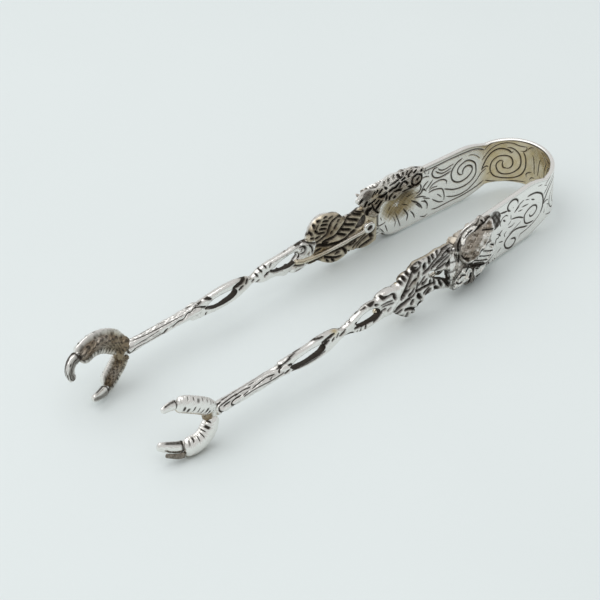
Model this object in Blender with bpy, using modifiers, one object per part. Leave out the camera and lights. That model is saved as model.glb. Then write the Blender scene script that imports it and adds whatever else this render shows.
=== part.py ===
"""Silver sugar tongs: a sprung bow with two cast arms of rose, leaves, entwined vine and bird's claw.

The tongs lie on their edge: X runs along them with the bow at +X, Y across from arm to arm, Z up.
Each arm is laid out flat, as a strip: s along its centreline from the crown, n outward, h above the
middle. The finished shapes are then bent round the bow and along the arm, as the silversmith does.
"""
import math

import bmesh
import bpy
from mathutils import Vector
from mathutils.geometry import interpolate_bezier

MM = 0.001

# Bow and strap
BOW_RADIUS = 8.3 * MM
ARM_SPREAD = math.radians(5.4)
ARM_BOW_IN = 4.7 * MM            # how far the claws come in from a straight arm
FLEX_AT = math.radians(45)       # the bend of the bow is hinged here, each side of the crown
STRAP_THICKNESS = 0.95 * MM
CROWN_WIDTH = 10.6 * MM
CUSP_WIDTH = 9.8 * MM
STRAP_WIDTH = 12.7 * MM
CUSP_AT = 11.7 * MM
SHOULDER_LENGTH = 6.3 * MM
STRAP_LENGTH = 39.8 * MM         # from the crown to the rounded end of one leg
STRAP_END_RADIUS = 5.0 * MM
HOLLOW_DEPTH = 0.9 * MM          # the leg is dished behind the rose
HOLLOW_LENGTH = 11.0 * MM
HOLLOW_HEIGHT = 7.6 * MM

CLEARANCE = 0.3 * MM             # between pieces that touch

# Rose, leaning from the end of the leg towards the bow
ROSE_LENGTH = 10.6 * MM
ROSE_RADIUS = 5.8 * MM
ROSE_DEPTH = 3.2 * MM            # outward, from the axis to the fullest petal
ROSE_LIFT = 0.8 * MM             # of the rose's foot off the strap
ROSE_HEIGHT = 0.4 * MM           # above the middle of the strap
ROSE_OVERHANG = 1.3 * MM         # how far the top petals curl in over the strap's edge
FRILL_HEIGHT = 2.0 * MM          # the ruffled frill that stands along the strap's top edge
FRILL_DEPTH = 2.3 * MM
PETAL_THICKNESS = 0.6 * MM
PETAL_RUFFLE = 0.4 * MM
CALYX_WIDTH = 2.4 * MM
CALYX_THICKNESS = 1.6 * MM
CALYX_HEIGHT = 8.4 * MM

# Leaf spray between the leg and the husk
SPRAY_LENGTH = 17.6 * MM         # from the leg to the middle of the husk
# Each leaf's place: its tip from the end of the leg, its root from the start of the husk, and heights
LEAF_TIP = {"broad": 1.8 * MM, "crest": 11.0 * MM, "rose": 1.5 * MM, "lower": 10.0 * MM}
LEAF_ROOT = {"broad": 0.4 * MM, "crest": 3.9 * MM, "rose": -5.4 * MM, "lower": 2.9 * MM}
LEAF_TIP_HEIGHT = {"broad": 5.3 * MM, "crest": 5.9 * MM, "rose": -4.8 * MM, "lower": -4.4 * MM}
LEAF_ROOT_HEIGHT = {"broad": -0.3 * MM, "crest": 1.5 * MM, "rose": -3.7 * MM, "lower": -2.2 * MM}
LEAF_WIDTH = {"broad": 5.8 * MM, "crest": 6.2 * MM, "rose": 3.3 * MM, "lower": 3.6 * MM}
LEAF_SWAY = {"broad": 0.7 * MM, "crest": -0.3 * MM, "rose": 0.0, "lower": 0.3 * MM}
LEAF_THICKNESS = 0.9 * MM
VEIN_RELIEF = 0.16 * MM
STALK_DIAMETER = 1.0 * MM
EYELET_RADIUS = 0.85 * MM
HUSK_LENGTH = 7.0 * MM
HUSK_HEIGHT = 5.0 * MM

# Two entwined vine strands, then one ridged stem
STRAND_DIAMETER = 1.2 * MM
FIRST_EYE = 13.0 * MM            # from the fork inside the husk to the crossing
SECOND_EYE = 14.5 * MM
FIRST_EYE_HEIGHT = 3.5 * MM      # over the strands' centrelines
SECOND_EYE_HEIGHT = 2.9 * MM
EYE_SAG = 0.35 * MM              # of the middle of an eye below the crossing
VINE_INSET = 0.15 * MM
STEM_LENGTH = 16.3 * MM
STEM_DIAMETER = 2.6 * MM
STEM_RIDGES = 7

# Bird's claw: a palm, an upper and a lower toe, each with a nail
PALM_LENGTH = 3.4 * MM
PALM_HEIGHT = 5.0 * MM
PALM_DEPTH = 2.8 * MM
TOE_FORK = 1.5 * MM              # height between the toes' roots inside the palm
TOE_WIDTH = 3.6 * MM
TOE_DEPTH = 2.5 * MM
TOE_BELOW_STRAP = 0.45 * MM      # the lower toes reach this far under the strap's edge
TOE_BANDS = 8
BAND_DEPTH = 0.15 * MM
UPPER_TOE_RISE = 4.9 * MM
UPPER_TOE_INWARD = 1.0 * MM
LOWER_NAIL = 5.4 * MM
NAIL_WIDTH = 2.7 * MM
# The claws were bent by hand, so the two arms differ here.
UPPER_TOE_REACH = {"near": 8.0 * MM, "far": 12.6 * MM}
UPPER_TOE_ARCH = {"near": -1.4 * MM, "far": 0.9 * MM}
UPPER_NAIL = {"near": 3.0 * MM, "far": 4.0 * MM}
UPPER_NAIL_INWARD = {"near": 1.9 * MM, "far": 2.6 * MM}
LOWER_TOE_REACH = {"near": 7.5 * MM, "far": 6.6 * MM}
LOWER_TOE_INWARD = {"near": 0.6 * MM, "far": 1.5 * MM}
LOWER_NAIL_INWARD = {"near": 1.9 * MM, "far": 1.9 * MM}

# Stations along the arm, from the crown
ROSE_FOOT = STRAP_LENGTH - 0.9 * MM
HUSK_START = STRAP_LENGTH + SPRAY_LENGTH - HUSK_LENGTH / 2
HUSK_END = HUSK_START + HUSK_LENGTH
FORK_AT = HUSK_END - 2.4 * MM
CROSSING_AT = FORK_AT + FIRST_EYE
STEM_START = CROSSING_AT + SECOND_EYE
STEM_END = STEM_START + STEM_LENGTH
PALM_START = STEM_END + CLEARANCE
CLAW_ROOT = PALM_START + 0.4 * PALM_LENGTH
MIDDLE_HEIGHT = STRAP_WIDTH / 2 + TOE_BELOW_STRAP

SIDES = {"near": -1.0, "far": 1.0}
COLLECTION = "sugar_tongs"
WELD = 0.00002 * MM
SILVER = (0.80, 0.79, 0.76)
SHADED_SILVER = (0.62, 0.58, 0.52)


def centreline(s):
    """Place, direction and outward normal of the strip's centreline, in plan, on the +Y side."""
    straight_from = BOW_RADIUS * (math.pi / 2 - ARM_SPREAD)
    angle = min(s, straight_from) / BOW_RADIUS
    run = max(s - straight_from, 0.0)
    claw_run = CLAW_ROOT - straight_from
    x = BOW_RADIUS * (math.cos(angle) - 1.0) - run * math.cos(ARM_SPREAD)
    y = BOW_RADIUS * math.sin(angle) + run * math.sin(ARM_SPREAD) - ARM_BOW_IN * (run / claw_run) ** 2
    heading = math.pi - ARM_SPREAD if run > 0.0 else math.pi / 2 + angle
    direction = Vector((math.cos(heading), math.sin(heading) - 2.0 * ARM_BOW_IN * run / claw_run**2))
    direction.normalize()
    return Vector((x, y)), direction, Vector((direction.y, -direction.x))


def bent(side, point):
    """World place of a point of the flat layout (s, n, h). Behind the crown s is negative."""
    hand = math.copysign(1.0, point.x) * side
    place, _, outward = centreline(abs(point.x))
    spot = place + outward * point.y
    return Vector((spot.x, hand * spot.y, point.z + MIDDLE_HEIGHT))


def strap_half_width(s):
    """Half the strap's width: a cusp parts the crown from the leg, whose end is rounded."""
    s = abs(s)
    if s <= CUSP_AT:
        return (CROWN_WIDTH - (CROWN_WIDTH - CUSP_WIDTH) * (s / CUSP_AT) ** 2) / 2
    if s <= CUSP_AT + SHOULDER_LENGTH:
        rise = math.sin(math.pi / 2 * (s - CUSP_AT) / SHOULDER_LENGTH)
        return (CUSP_WIDTH + (STRAP_WIDTH - CUSP_WIDTH) * rise) / 2
    into_end = max(s - (STRAP_LENGTH - STRAP_END_RADIUS), 0.0)
    corner = math.sqrt(max(STRAP_END_RADIUS**2 - into_end**2, 0.0))
    return STRAP_WIDTH / 2 - STRAP_END_RADIUS + corner


def hollow(s, h):
    """How far the strap is pushed outward behind the rose."""
    across = (abs(s) - (STRAP_LENGTH - HOLLOW_LENGTH / 2)) / (HOLLOW_LENGTH / 2)
    up = h / (HOLLOW_HEIGHT / 2)
    return HOLLOW_DEPTH * max(1.0 - across**2 - up**2, 0.0) ** 1.5


def collection():
    if COLLECTION not in bpy.data.collections:
        made = bpy.data.collections.new(COLLECTION)
        bpy.context.scene.collection.children.link(made)
    return bpy.data.collections[COLLECTION]


def face_outward(bm):
    bmesh.ops.recalc_face_normals(bm, faces=bm.faces)
    if bm.calc_volume(signed=True) < 0.0:
        bmesh.ops.reverse_faces(bm, faces=bm.faces)


def object_from(bm, name):
    """A new object in the tongs' collection from a bmesh."""
    mesh = bpy.data.meshes.new(name)
    bm.to_mesh(mesh)
    bm.free()
    made = bpy.data.objects.new(name, mesh)
    collection().objects.link(made)
    return made


def settle(piece, single_skin=True):
    """Applies the modifiers, or turns a curve into a mesh with its caps welded."""
    was_curve = piece.type == "CURVE"
    graph = bpy.context.evaluated_depsgraph_get()
    mesh = bpy.data.meshes.new_from_object(piece.evaluated_get(graph))
    name = piece.name
    bpy.data.objects.remove(piece)
    bm = bmesh.new()
    bm.from_mesh(mesh)
    bpy.data.meshes.remove(mesh)
    if was_curve:
        bmesh.ops.remove_doubles(bm, verts=bm.verts, dist=WELD)
    if single_skin:
        face_outward(bm)
    return object_from(bm, name)


def boolean(piece, other, operation):
    """Joins or cuts the piece with another, which is used up. The ribbed sheets need this solver."""
    modifier = piece.modifiers.new(operation.lower(), "BOOLEAN")
    modifier.operation = operation
    modifier.solver = "MANIFOLD"
    modifier.object = other
    bpy.context.view_layer.update()
    result = settle(piece, single_skin=False)
    bpy.data.objects.remove(other)
    return result


def main_body(piece):
    """Keeps the largest closed skin: no sealed hollow, which a casting would fill, and no offcut."""
    bm = bmesh.new()
    bm.from_mesh(piece.data)
    waiting = set(bm.faces)
    skins = []
    while waiting:
        skin = {waiting.pop()}
        edge_of_skin = list(skin)
        while edge_of_skin:
            near = {face for edge in edge_of_skin.pop().edges for face in edge.link_faces} - skin
            skin |= near
            edge_of_skin.extend(near)
        waiting -= skin
        volume = sum(face.normal.dot(face.calc_center_median()) * face.calc_area() for face in skin)
        skins.append((volume, skin))
    skins.sort(key=lambda entry: entry[0])
    for _, skin in skins[:-1]:
        bmesh.ops.delete(bm, geom=list(skin), context="FACES")
    bm.to_mesh(piece.data)
    bm.free()
    return piece


def solidify(piece, thickness):
    modifier = piece.modifiers.new("thickness", "SOLIDIFY")
    modifier.thickness = thickness
    modifier.offset = 0.0
    bpy.context.view_layer.update()
    return settle(piece)


def grid_sheet(name, rows, columns, place):
    """An open sheet of rows by columns, with place(i, j) in the flat layout."""
    bm = bmesh.new()
    verts = [[bm.verts.new(place(i, j)) for j in range(columns + 1)] for i in range(rows + 1)]
    for i in range(rows):
        for j in range(columns):
            bm.faces.new((verts[i][j], verts[i][j + 1], verts[i + 1][j + 1], verts[i + 1][j]))
    return object_from(bm, name)


def loft(name, path, section):
    """A closed skin along a path. section(t) gives each ring's points as (across, out) offsets."""
    bm = bmesh.new()
    rings = []
    last = len(path) - 1
    for i, centre in enumerate(path):
        along = (path[min(i + 1, last)] - path[max(i - 1, 0)]).normalized()
        across = along.cross(Vector((0.0, 1.0, 0.0))).normalized()
        out = across.cross(along)
        rings.append([bm.verts.new(centre + across * a + out * b) for a, b in section(i / last)])
    count = len(rings[0])
    for first, second in zip(rings, rings[1:]):
        for j in range(count):
            k = (j + 1) % count
            bm.faces.new((first[j], first[k], second[k], second[j]))
    bm.faces.new(rings[0])
    bm.faces.new(list(reversed(rings[-1])))
    face_outward(bm)
    return object_from(bm, name)


def ellipse(width, depth, count, ripple=0.0, ridges=0, turn=0.0):
    """Section points of an ellipse, with an optional number of ridges of a height round it."""
    points = []
    for k in range(count):
        angle = 2.0 * math.pi * k / count
        lift = 1.0 + ripple * math.cos(ridges * angle + turn)
        points.append((width / 2 * lift * math.cos(angle), depth / 2 * lift * math.sin(angle)))
    return points


def strap(name, start, end, thickness):
    """A stretch of the strap as a sheet of even thickness, dished behind the rose."""
    rows = 2 * max(round((end - start) / (2.8 * MM)), 4)
    columns = 8

    def place(i, j):
        # Stations close up towards the rounded end, where the outline turns quickly.
        s = start + (end - start) * i / rows
        if end > CUSP_AT:
            s = start + (end - start) * math.sin(math.pi / 2 * i / rows) ** 0.9
        s = min(s, STRAP_LENGTH - 0.001 * STRAP_END_RADIUS)
        h = strap_half_width(s) * (2.0 * j / columns - 1.0)
        return Vector((s, hollow(s, h), h))

    return solidify(grid_sheet(name, rows, columns, place), thickness)


def bow_crown():
    end = BOW_RADIUS * FLEX_AT - CLEARANCE / 2
    return strap("bow_crown", -end, end, STRAP_THICKNESS)


def strap_leg(name="strap_leg", extra=0.0):
    start = BOW_RADIUS * FLEX_AT + CLEARANCE / 2
    return strap(name, start, STRAP_LENGTH, STRAP_THICKNESS + 2.0 * extra)


def rose_axes():
    """Foot of the rose and its axis, outward and upward directions."""
    axis = Vector((-1.0, 0.10, 0.10)).normalized()
    outward = (Vector((0.0, 1.0, 0.0)) - axis * axis.y).normalized()
    foot = Vector((ROSE_FOOT, STRAP_THICKNESS / 2 + ROSE_LIFT, ROSE_HEIGHT))
    return foot, axis, outward, axis.cross(outward)


def rose_floor(h):
    """The inmost a petal goes: clear of the strap, and curling in over its top edge."""
    on_strap = STRAP_THICKNESS / 2 + CLEARANCE + PETAL_THICKNESS
    over = min(max((h - STRAP_WIDTH / 2) / (0.5 * ROSE_OVERHANG), 0.0), 1.0)
    return on_strap - (on_strap + ROSE_OVERHANG) * over


def petal(turn, spread, reach, radius, rows, columns):
    """One cupped petal: narrow at the foot, full in the middle, rolled back and ruffled at the rim."""
    foot, axis, outward, upward = rose_axes()
    turn = math.radians(turn)
    spread = math.radians(spread)

    def place(i, j):
        t = i / rows
        u = 2.0 * j / columns - 1.0
        angle = turn + spread * u * math.sin(math.pi * (0.2 + 0.42 * t))
        swell = radius * (0.2 + 0.8 * math.sin(math.pi / 2 * t) ** 0.75) + 0.12 * radius * t**5
        swell += PETAL_RUFFLE * t**3 * math.cos(3.0 * math.pi * u)
        rim = reach * (t - 0.13 * t * u**4) - 0.06 * reach * t**6
        radial = outward * math.cos(angle) * ROSE_DEPTH / ROSE_RADIUS + upward * math.sin(angle)
        spot = foot + axis * rim + radial * swell
        soft = 0.35 * MM
        floor = rose_floor(spot.z)
        spot.y = floor + soft * math.log1p(math.exp((spot.y - floor) / soft))
        return spot

    return solidify(grid_sheet("petal", rows, columns, place), PETAL_THICKNESS)


def frill():
    """The ruffled frill of small petals that closes the rose along the strap's top edge."""
    low = STRAP_WIDTH / 2 - 0.3 * FRILL_HEIGHT
    high = STRAP_WIDTH / 2 + 0.1 * FRILL_HEIGHT
    ends = (Vector((ROSE_FOOT - ROSE_LENGTH, 0.9 * MM, low)), Vector((ROSE_FOOT + 0.5 * MM, 0.7 * MM, low)))
    path = interpolate_bezier(ends[0], ends[0].lerp(ends[1], 0.3) + Vector((0.0, 0.0, high - low)),
                              ends[0].lerp(ends[1], 0.7) + Vector((0.0, 0.0, high - low)), ends[1], 10)

    def section(t):
        ruffle = (0.75 + 0.25 * math.sin(math.pi * t)) * (1.0 + 0.12 * math.cos(9.0 * math.pi * t))
        return ellipse(FRILL_HEIGHT * ruffle, FRILL_DEPTH * ruffle, 7)

    return loft("frill", path, section)


def rose():
    """Four outer petals round two inner ones and a closed heart, with a frill along the top."""
    foot, axis, outward, upward = rose_axes()
    bm = bmesh.new()
    bmesh.ops.create_uvsphere(bm, u_segments=10, v_segments=6, radius=1.0)
    for vert in bm.verts:
        x, y, z = vert.co
        centre = foot + axis * (0.4 * ROSE_LENGTH)
        vert.co = centre + axis * (x * 0.42 * ROSE_LENGTH) + (
            outward * (y * 0.5 * ROSE_DEPTH) + upward * (z * 0.5 * ROSE_RADIUS))
    face_outward(bm)
    whole = object_from(bm, "rose")
    petals = [petal(turn, spread, ROSE_LENGTH, share * ROSE_RADIUS, 4, 6)
              for turn, spread, share in ((-82, 40, 1.0), (-16, 44, 1.0), (50, 40, 0.92), (104, 34, 0.84))]
    petals += [petal(turn, 52, 0.9 * ROSE_LENGTH, 0.62 * ROSE_RADIUS, 3, 4) for turn in (-40, 40)]
    for one in petals + [frill()]:
        whole = boolean(whole, one, "UNION")
    return main_body(boolean(whole, strap_leg("leg_room", CLEARANCE), "DIFFERENCE"))


def calyx(name="calyx", extra=0.0):
    """A ribbed crescent that ties the leg and the rose to the spray."""
    s = STRAP_LENGTH + CLEARANCE + CALYX_WIDTH / 2
    n = 0.5 * MM
    ends = Vector((s, n, 0.42 * CALYX_HEIGHT)), Vector((s, n, -0.58 * CALYX_HEIGHT))
    belly = Vector((0.5 * CALYX_WIDTH, 0.4 * CALYX_THICKNESS, 0.0))
    path = interpolate_bezier(ends[0], ends[0].lerp(ends[1], 0.3) + belly,
                              ends[0].lerp(ends[1], 0.7) + belly, ends[1], 13)

    def section(t):
        swell = (0.6 + 0.4 * math.sin(math.pi * t)) * (1.0 + 0.1 * math.cos(12.0 * math.pi * t))
        return ellipse(CALYX_WIDTH * swell + 2.0 * extra, CALYX_THICKNESS * swell + 2.0 * extra, 10)

    return loft(name, path, section)


def leaf(which, layer):
    """A veined leaf at a layer outward. Its midrib is bowed sideways."""
    rows, columns = 11, 6
    root = Vector((HUSK_START + LEAF_ROOT[which], layer, LEAF_ROOT_HEIGHT[which]))
    tip = Vector((STRAP_LENGTH + LEAF_TIP[which], layer, LEAF_TIP_HEIGHT[which]))
    run = tip - root
    sideways = Vector((-run.z, 0.0, run.x)).normalized()

    def place(i, j):
        t = i / rows
        u = 2.0 * j / columns - 1.0
        # Side veins slope towards the tip, and each other row of points stands up as a rib.
        slant = t + 0.10 * abs(u) * math.sin(math.pi * t)
        outline = math.sin(math.pi * min(0.07 + 0.90 * t, 1.0)) ** 0.75
        lobe = 1.0 + (0.09 if i % 2 else -0.03) * abs(u)
        rib = VEIN_RELIEF * (1 if i % 2 else -1) * (1.0 if 0 < abs(u) < 1 else 0.0)
        midrib = VEIN_RELIEF if j == columns // 2 else 0.0
        spot = root + run * slant
        spot += sideways * (u * LEAF_WIDTH[which] / 2 * outline * lobe)
        spot += sideways * (LEAF_SWAY[which] * math.sin(math.pi * t))
        spot.y += rib + midrib
        return spot

    return solidify(grid_sheet(f"{which}_leaf", rows, columns, place), LEAF_THICKNESS)


def husk(name="husk", extra=0.0):
    """The swollen bud husk that holds the leaves and the two strands together."""
    start = Vector((HUSK_START - extra, 0.0, 0.5 * MM))
    end = Vector((HUSK_END + extra, -VINE_INSET, 0.3 * MM))
    path = [start.lerp(end, k / 8) for k in range(9)]

    def section(t):
        swell = 0.34 + 0.66 * math.sin(math.pi * (0.08 + 0.72 * t))
        return ellipse(HUSK_HEIGHT * swell + 2.0 * extra, 0.56 * HUSK_HEIGHT * swell + 2.0 * extra,
                       12, 0.05, 6, 2.5 * t)

    return loft(name, path, section)


def stalk():
    """The rod along the inner face of the spray, with an eyelet at the leg."""
    n = -(LEAF_THICKNESS / 2 + CLEARANCE + STALK_DIAMETER / 2)
    eye = Vector((STRAP_LENGTH + 0.55 * MM + EYELET_RADIUS + 0.35 * STALK_DIAMETER, n, -1.7 * MM))
    start = eye + Vector((EYELET_RADIUS, 0.0, -0.3 * MM))
    end = Vector((HUSK_START + 0.8 * HUSK_LENGTH, n, -2.0 * MM))
    curve = bpy.data.curves.new("stalk", "CURVE")
    curve.dimensions = "3D"
    curve.bevel_depth = STALK_DIAMETER / 2
    curve.bevel_resolution = 2
    curve.use_fill_caps = True
    points = interpolate_bezier(start, start.lerp(end, 0.35) + Vector((0.0, 0.0, -0.5 * MM)),
                                start.lerp(end, 0.7) + Vector((0.0, 0.0, -0.9 * MM)), end, 8)
    spline = curve.splines.new("POLY")
    spline.points.add(len(points) - 1)
    for point, place in zip(spline.points, points):
        point.co = (*place, 1.0)
    rod = bpy.data.objects.new("stalk", curve)
    collection().objects.link(rod)
    bpy.context.view_layer.update()
    rod = settle(rod)
    bm = bmesh.new()
    ring_centre = [eye + Vector((math.cos(a), 0.0, math.sin(a))) * EYELET_RADIUS
                   for a in (2.0 * math.pi * k / 16 for k in range(16))]
    rings = []
    for k, centre in enumerate(ring_centre):
        outward = (centre - eye).normalized()
        rings.append([bm.verts.new(centre + (outward * math.cos(b) + Vector((0.0, 1.0, 0.0)) * math.sin(b))
                                   * 0.36 * STALK_DIAMETER)
                      for b in (2.0 * math.pi * j / 8 for j in range(8))])
    for k in range(16):
        first, second = rings[k], rings[(k + 1) % 16]
        for j in range(8):
            bm.faces.new((first[j], first[(j + 1) % 8], second[(j + 1) % 8], second[j]))
    face_outward(bm)
    eyelet = object_from(bm, "eyelet")
    joined = boolean(rod, eyelet, "UNION")
    return boolean(joined, husk("husk_room", CLEARANCE), "DIFFERENCE")


def vine_strand(name, sign):
    """One of two strands that part and cross: a sine in height, with the cosine as depth."""
    start = HUSK_END + CLEARANCE
    end = STEM_START - CLEARANCE
    steps = 20
    curve = bpy.data.curves.new(name, "CURVE")
    curve.dimensions = "3D"
    curve.bevel_depth = STRAND_DIAMETER / 2
    curve.bevel_resolution = 2
    curve.use_fill_caps = True
    spline = curve.splines.new("POLY")
    spline.points.add(steps)
    depth = (STRAND_DIAMETER + CLEARANCE) / 2
    for k, point in enumerate(spline.points):
        s = start + (end - start) * k / steps
        eye, rise = (FIRST_EYE, FIRST_EYE_HEIGHT) if s < CROSSING_AT else (SECOND_EYE, SECOND_EYE_HEIGHT)
        phase = math.pi * (s - CROSSING_AT) / eye
        height = 0.15 * MM - EYE_SAG * math.sin(phase) ** 2 + sign * rise / 2 * math.sin(phase)
        point.co = (s, sign * depth * math.cos(phase) - VINE_INSET, height, 1.0)
        point.radius = 0.9 + 0.1 * math.cos(phase) ** 2
    strand = bpy.data.objects.new(name, curve)
    collection().objects.link(strand)
    bpy.context.view_layer.update()
    return settle(strand)


def ridged_stem():
    """The round stem, with ridges that wind slowly like bark."""
    start = Vector((STEM_START, -VINE_INSET, 0.15 * MM))
    end = Vector((STEM_END, 0.0, 0.1 * MM))
    path = [start.lerp(end, k / 9) for k in range(10)]

    def section(t):
        waist = STEM_DIAMETER * (1.0 - 0.10 * math.sin(math.pi * t))
        return ellipse(waist, waist, 3 * STEM_RIDGES, 0.08, STEM_RIDGES, 2.2 * t)

    return loft("ridged_stem", path, section)


def claw_palm(name="claw_palm", extra=0.0):
    """The palm swells from the stem to the fork of the toes."""
    start = Vector((PALM_START - extra, 0.0, 0.1 * MM))
    end = Vector((PALM_START + PALM_LENGTH + extra, 0.0, 0.0))
    path = [start.lerp(end, k / 6) for k in range(7)]

    def section(t):
        swell = math.sin(math.pi * (0.22 + 0.66 * t))
        height = STEM_DIAMETER + (PALM_HEIGHT - STEM_DIAMETER) * math.sin(math.pi * min(t, 0.88) / 1.2)
        return ellipse(height * (0.62 + 0.38 * swell) + 2.0 * extra,
                       PALM_DEPTH * (0.62 + 0.38 * swell) + 2.0 * extra, 12)

    return loft(name, path, section)


def toe_path(hand, upper):
    """A toe's cuticle, nail tip and root, and the handles of the curve between root and cuticle."""
    if upper:
        reach = UPPER_TOE_REACH[hand]
        nail_length = UPPER_NAIL[hand]
        arch = Vector((0.0, 0.0, UPPER_TOE_ARCH[hand]))
        root = Vector((CLAW_ROOT, 0.0, TOE_FORK / 2))
        cuticle = root + Vector((reach, -UPPER_TOE_INWARD, UPPER_TOE_RISE - 0.4 * MM))
        handles = (root + Vector((0.28 * reach, 0.3 * MM, 0.62 * UPPER_TOE_RISE)) + arch,
                   cuticle + Vector((-0.36 * reach, 0.8 * MM, 0.6 * MM)) + arch)
        tip = cuticle + Vector((0.74 * nail_length, -UPPER_NAIL_INWARD[hand], -0.38 * nail_length))
    else:
        reach = LOWER_TOE_REACH[hand]
        drop = (STRAP_WIDTH - TOE_WIDTH) / 2 + TOE_BELOW_STRAP
        root = Vector((CLAW_ROOT, 0.0, -TOE_FORK / 2))
        cuticle = Vector((CLAW_ROOT + reach, -LOWER_TOE_INWARD[hand], 0.3 * MM - drop))
        handles = (root + Vector((0.08 * reach, 0.2 * MM, -0.72 * drop)),
                   cuticle + Vector((-0.58 * reach, 0.6 * LOWER_TOE_INWARD[hand], -0.85 * MM)))
        tip = cuticle + Vector((0.90 * LOWER_NAIL, -LOWER_NAIL_INWARD[hand], 0.16 * LOWER_NAIL))
    return cuticle, tip, root, handles


def trough(width, depth):
    """Section of a toe: round outside and slightly hollow on the gripping side."""
    points = []
    for k in range(12):
        angle = 2.0 * math.pi * k / 12
        out = math.sin(angle)
        if out < -0.01:
            out *= 0.62 * (1.0 - 0.55 * out * out)
        points.append((width / 2 * math.cos(angle), depth / 2 * out))
    return points


def toe(name, hand, upper):
    """A curved toe with raised scale bands across it, cut to sit against the palm."""
    cuticle, _, root, handles = toe_path(hand, upper)
    steps = 2 * TOE_BANDS
    path = interpolate_bezier(root, handles[0], handles[1], cuticle, steps + 1)

    def section(t):
        band = BAND_DEPTH * (round(t * steps) % 2)
        width = TOE_WIDTH * (1.0 - 0.18 * t**3) + 2.0 * band
        return trough(width, TOE_DEPTH * (1.0 - 0.12 * t) + 2.0 * band)

    made = loft(name, path, section)
    return boolean(made, claw_palm("palm_room", CLEARANCE), "DIFFERENCE")


def nail(name, hand, upper):
    """A pointed nail that carries on the toe's curve from the cuticle and hooks inward."""
    cuticle, tip, _, handles = toe_path(hand, upper)
    along = (cuticle - handles[1]).normalized()
    start = cuticle + along * CLEARANCE
    length = (tip - start).length
    path = interpolate_bezier(start, start + along * (0.4 * length),
                              tip - (tip - start) * 0.25 + Vector((0.0, 0.35 * MM, 0.0)), tip, 9)

    def section(t):
        taper = (1.0 - t) ** 0.7 * 0.92 + 0.08
        return ellipse(NAIL_WIDTH * taper, 0.62 * NAIL_WIDTH * taper, 10)

    return loft(name, path, section)


def silver(name, colour, roughness):
    material = bpy.data.materials.new(name)
    material.use_nodes = True
    shader = material.node_tree.nodes["Principled BSDF"]
    shader.inputs["Base Color"].default_value = (*colour, 1.0)
    shader.inputs["Metallic"].default_value = 1.0
    shader.inputs["Roughness"].default_value = roughness
    return material


def finish(piece, name, side, pivot, colour, roughness):
    """Bends the flat piece into place, hangs it on its pivot and gives it its metal."""
    piece.name = name
    mesh = piece.data
    mesh.name = name
    origin = pivot.location
    bm = bmesh.new()
    bm.from_mesh(mesh)
    for vert in bm.verts:
        vert.co = bent(side, vert.co) - origin
    face_outward(bm)
    bm.to_mesh(mesh)
    bm.free()
    mesh.shade_smooth()
    mesh.set_sharp_from_angle(angle=math.radians(40))
    mesh.materials.clear()
    mesh.materials.append(silver(name, colour, roughness))
    piece.parent = pivot
    return piece


def pivot_empty(name, place):
    made = bpy.data.objects.new(name, None)
    made.location = place
    made.empty_display_size = 2.0 * MM
    collection().objects.link(made)
    return made


def stand_on_floor():
    """Moves the pivots, and so everything, to put the origin under the middle, on the floor."""
    bpy.context.view_layer.update()
    points = [piece.matrix_world @ vert.co for piece in collection().objects
              if piece.type == "MESH" for vert in piece.data.vertices]
    along = [point.x for point in points]
    shift = Vector((-(min(along) + max(along)) / 2, 0.0, -min(point.z for point in points)))
    for pivot in collection().objects:
        if pivot.type == "EMPTY":
            pivot.location += shift
            print(pivot.name, [round(value / MM, 3) for value in pivot.location])


def arm(hand):
    """All the pieces of one arm, on the pivot where its half of the bow bends."""
    side = SIDES[hand]
    place = bent(side, Vector((BOW_RADIUS * FLEX_AT, 0.0, -MIDDLE_HEIGHT)))
    pivot = pivot_empty(f"{hand}_flex", place)
    step = LEAF_THICKNESS / 2 + CLEARANCE / 2 + VEIN_RELIEF
    layers = {"broad": step, "crest": -step, "rose": 0.0, "lower": 0.0}
    pieces = {
        "strap_leg": (strap_leg(), SILVER, 0.22),
        "rose": (rose(), SHADED_SILVER, 0.35),
        "calyx": (calyx(), SILVER, 0.3),
        "stalk": (stalk(), SILVER, 0.25),
        "husk": (husk(), SILVER, 0.28),
        "vine_strand_a": (vine_strand("vine_strand_a", 1.0), SILVER, 0.24),
        "vine_strand_b": (vine_strand("vine_strand_b", -1.0), SILVER, 0.24),
        "ridged_stem": (ridged_stem(), SILVER, 0.27),
        "claw_palm": (claw_palm(), SHADED_SILVER, 0.33),
        "upper_toe": (toe("upper_toe", hand, True), SHADED_SILVER, 0.33),
        "lower_toe": (toe("lower_toe", hand, False), SHADED_SILVER, 0.33),
        "upper_nail": (nail("upper_nail", hand, True), SILVER, 0.2),
        "lower_nail": (nail("lower_nail", hand, False), SILVER, 0.2),
    }
    for which, layer in layers.items():
        made = boolean(leaf(which, layer), husk("husk_room", CLEARANCE), "DIFFERENCE")
        made = main_body(boolean(made, calyx("calyx_room", CLEARANCE), "DIFFERENCE"))
        pieces[f"{which}_leaf"] = (made, SHADED_SILVER, 0.32)
    for name, (piece, colour, roughness) in pieces.items():
        finish(piece, f"{hand}_{name}", side, pivot, colour, roughness)


def main():
    for old in list(bpy.data.objects):
        bpy.data.objects.remove(old)
    root = pivot_empty("bow", Vector((0.0, 0.0, 0.0)))
    finish(bow_crown(), "bow_crown", 1.0, root, SILVER, 0.22)
    for hand in SIDES:
        arm(hand)
    stand_on_floor()


main()
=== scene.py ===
"""Silver sugar tongs on a pale table: engraved strap, rose, leaves, entwined vine and bird's claws.

Every piece is laid out flat along its arm, in millimetres: s along the arm from the crown of the bow,
n outward and h above the middle of the strap. The layout is then bent round the bow and along the arm.
"""
import math

import bmesh
import bpy
import numpy as np
from mathutils import Matrix, Vector
from mathutils.kdtree import KDTree

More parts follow.
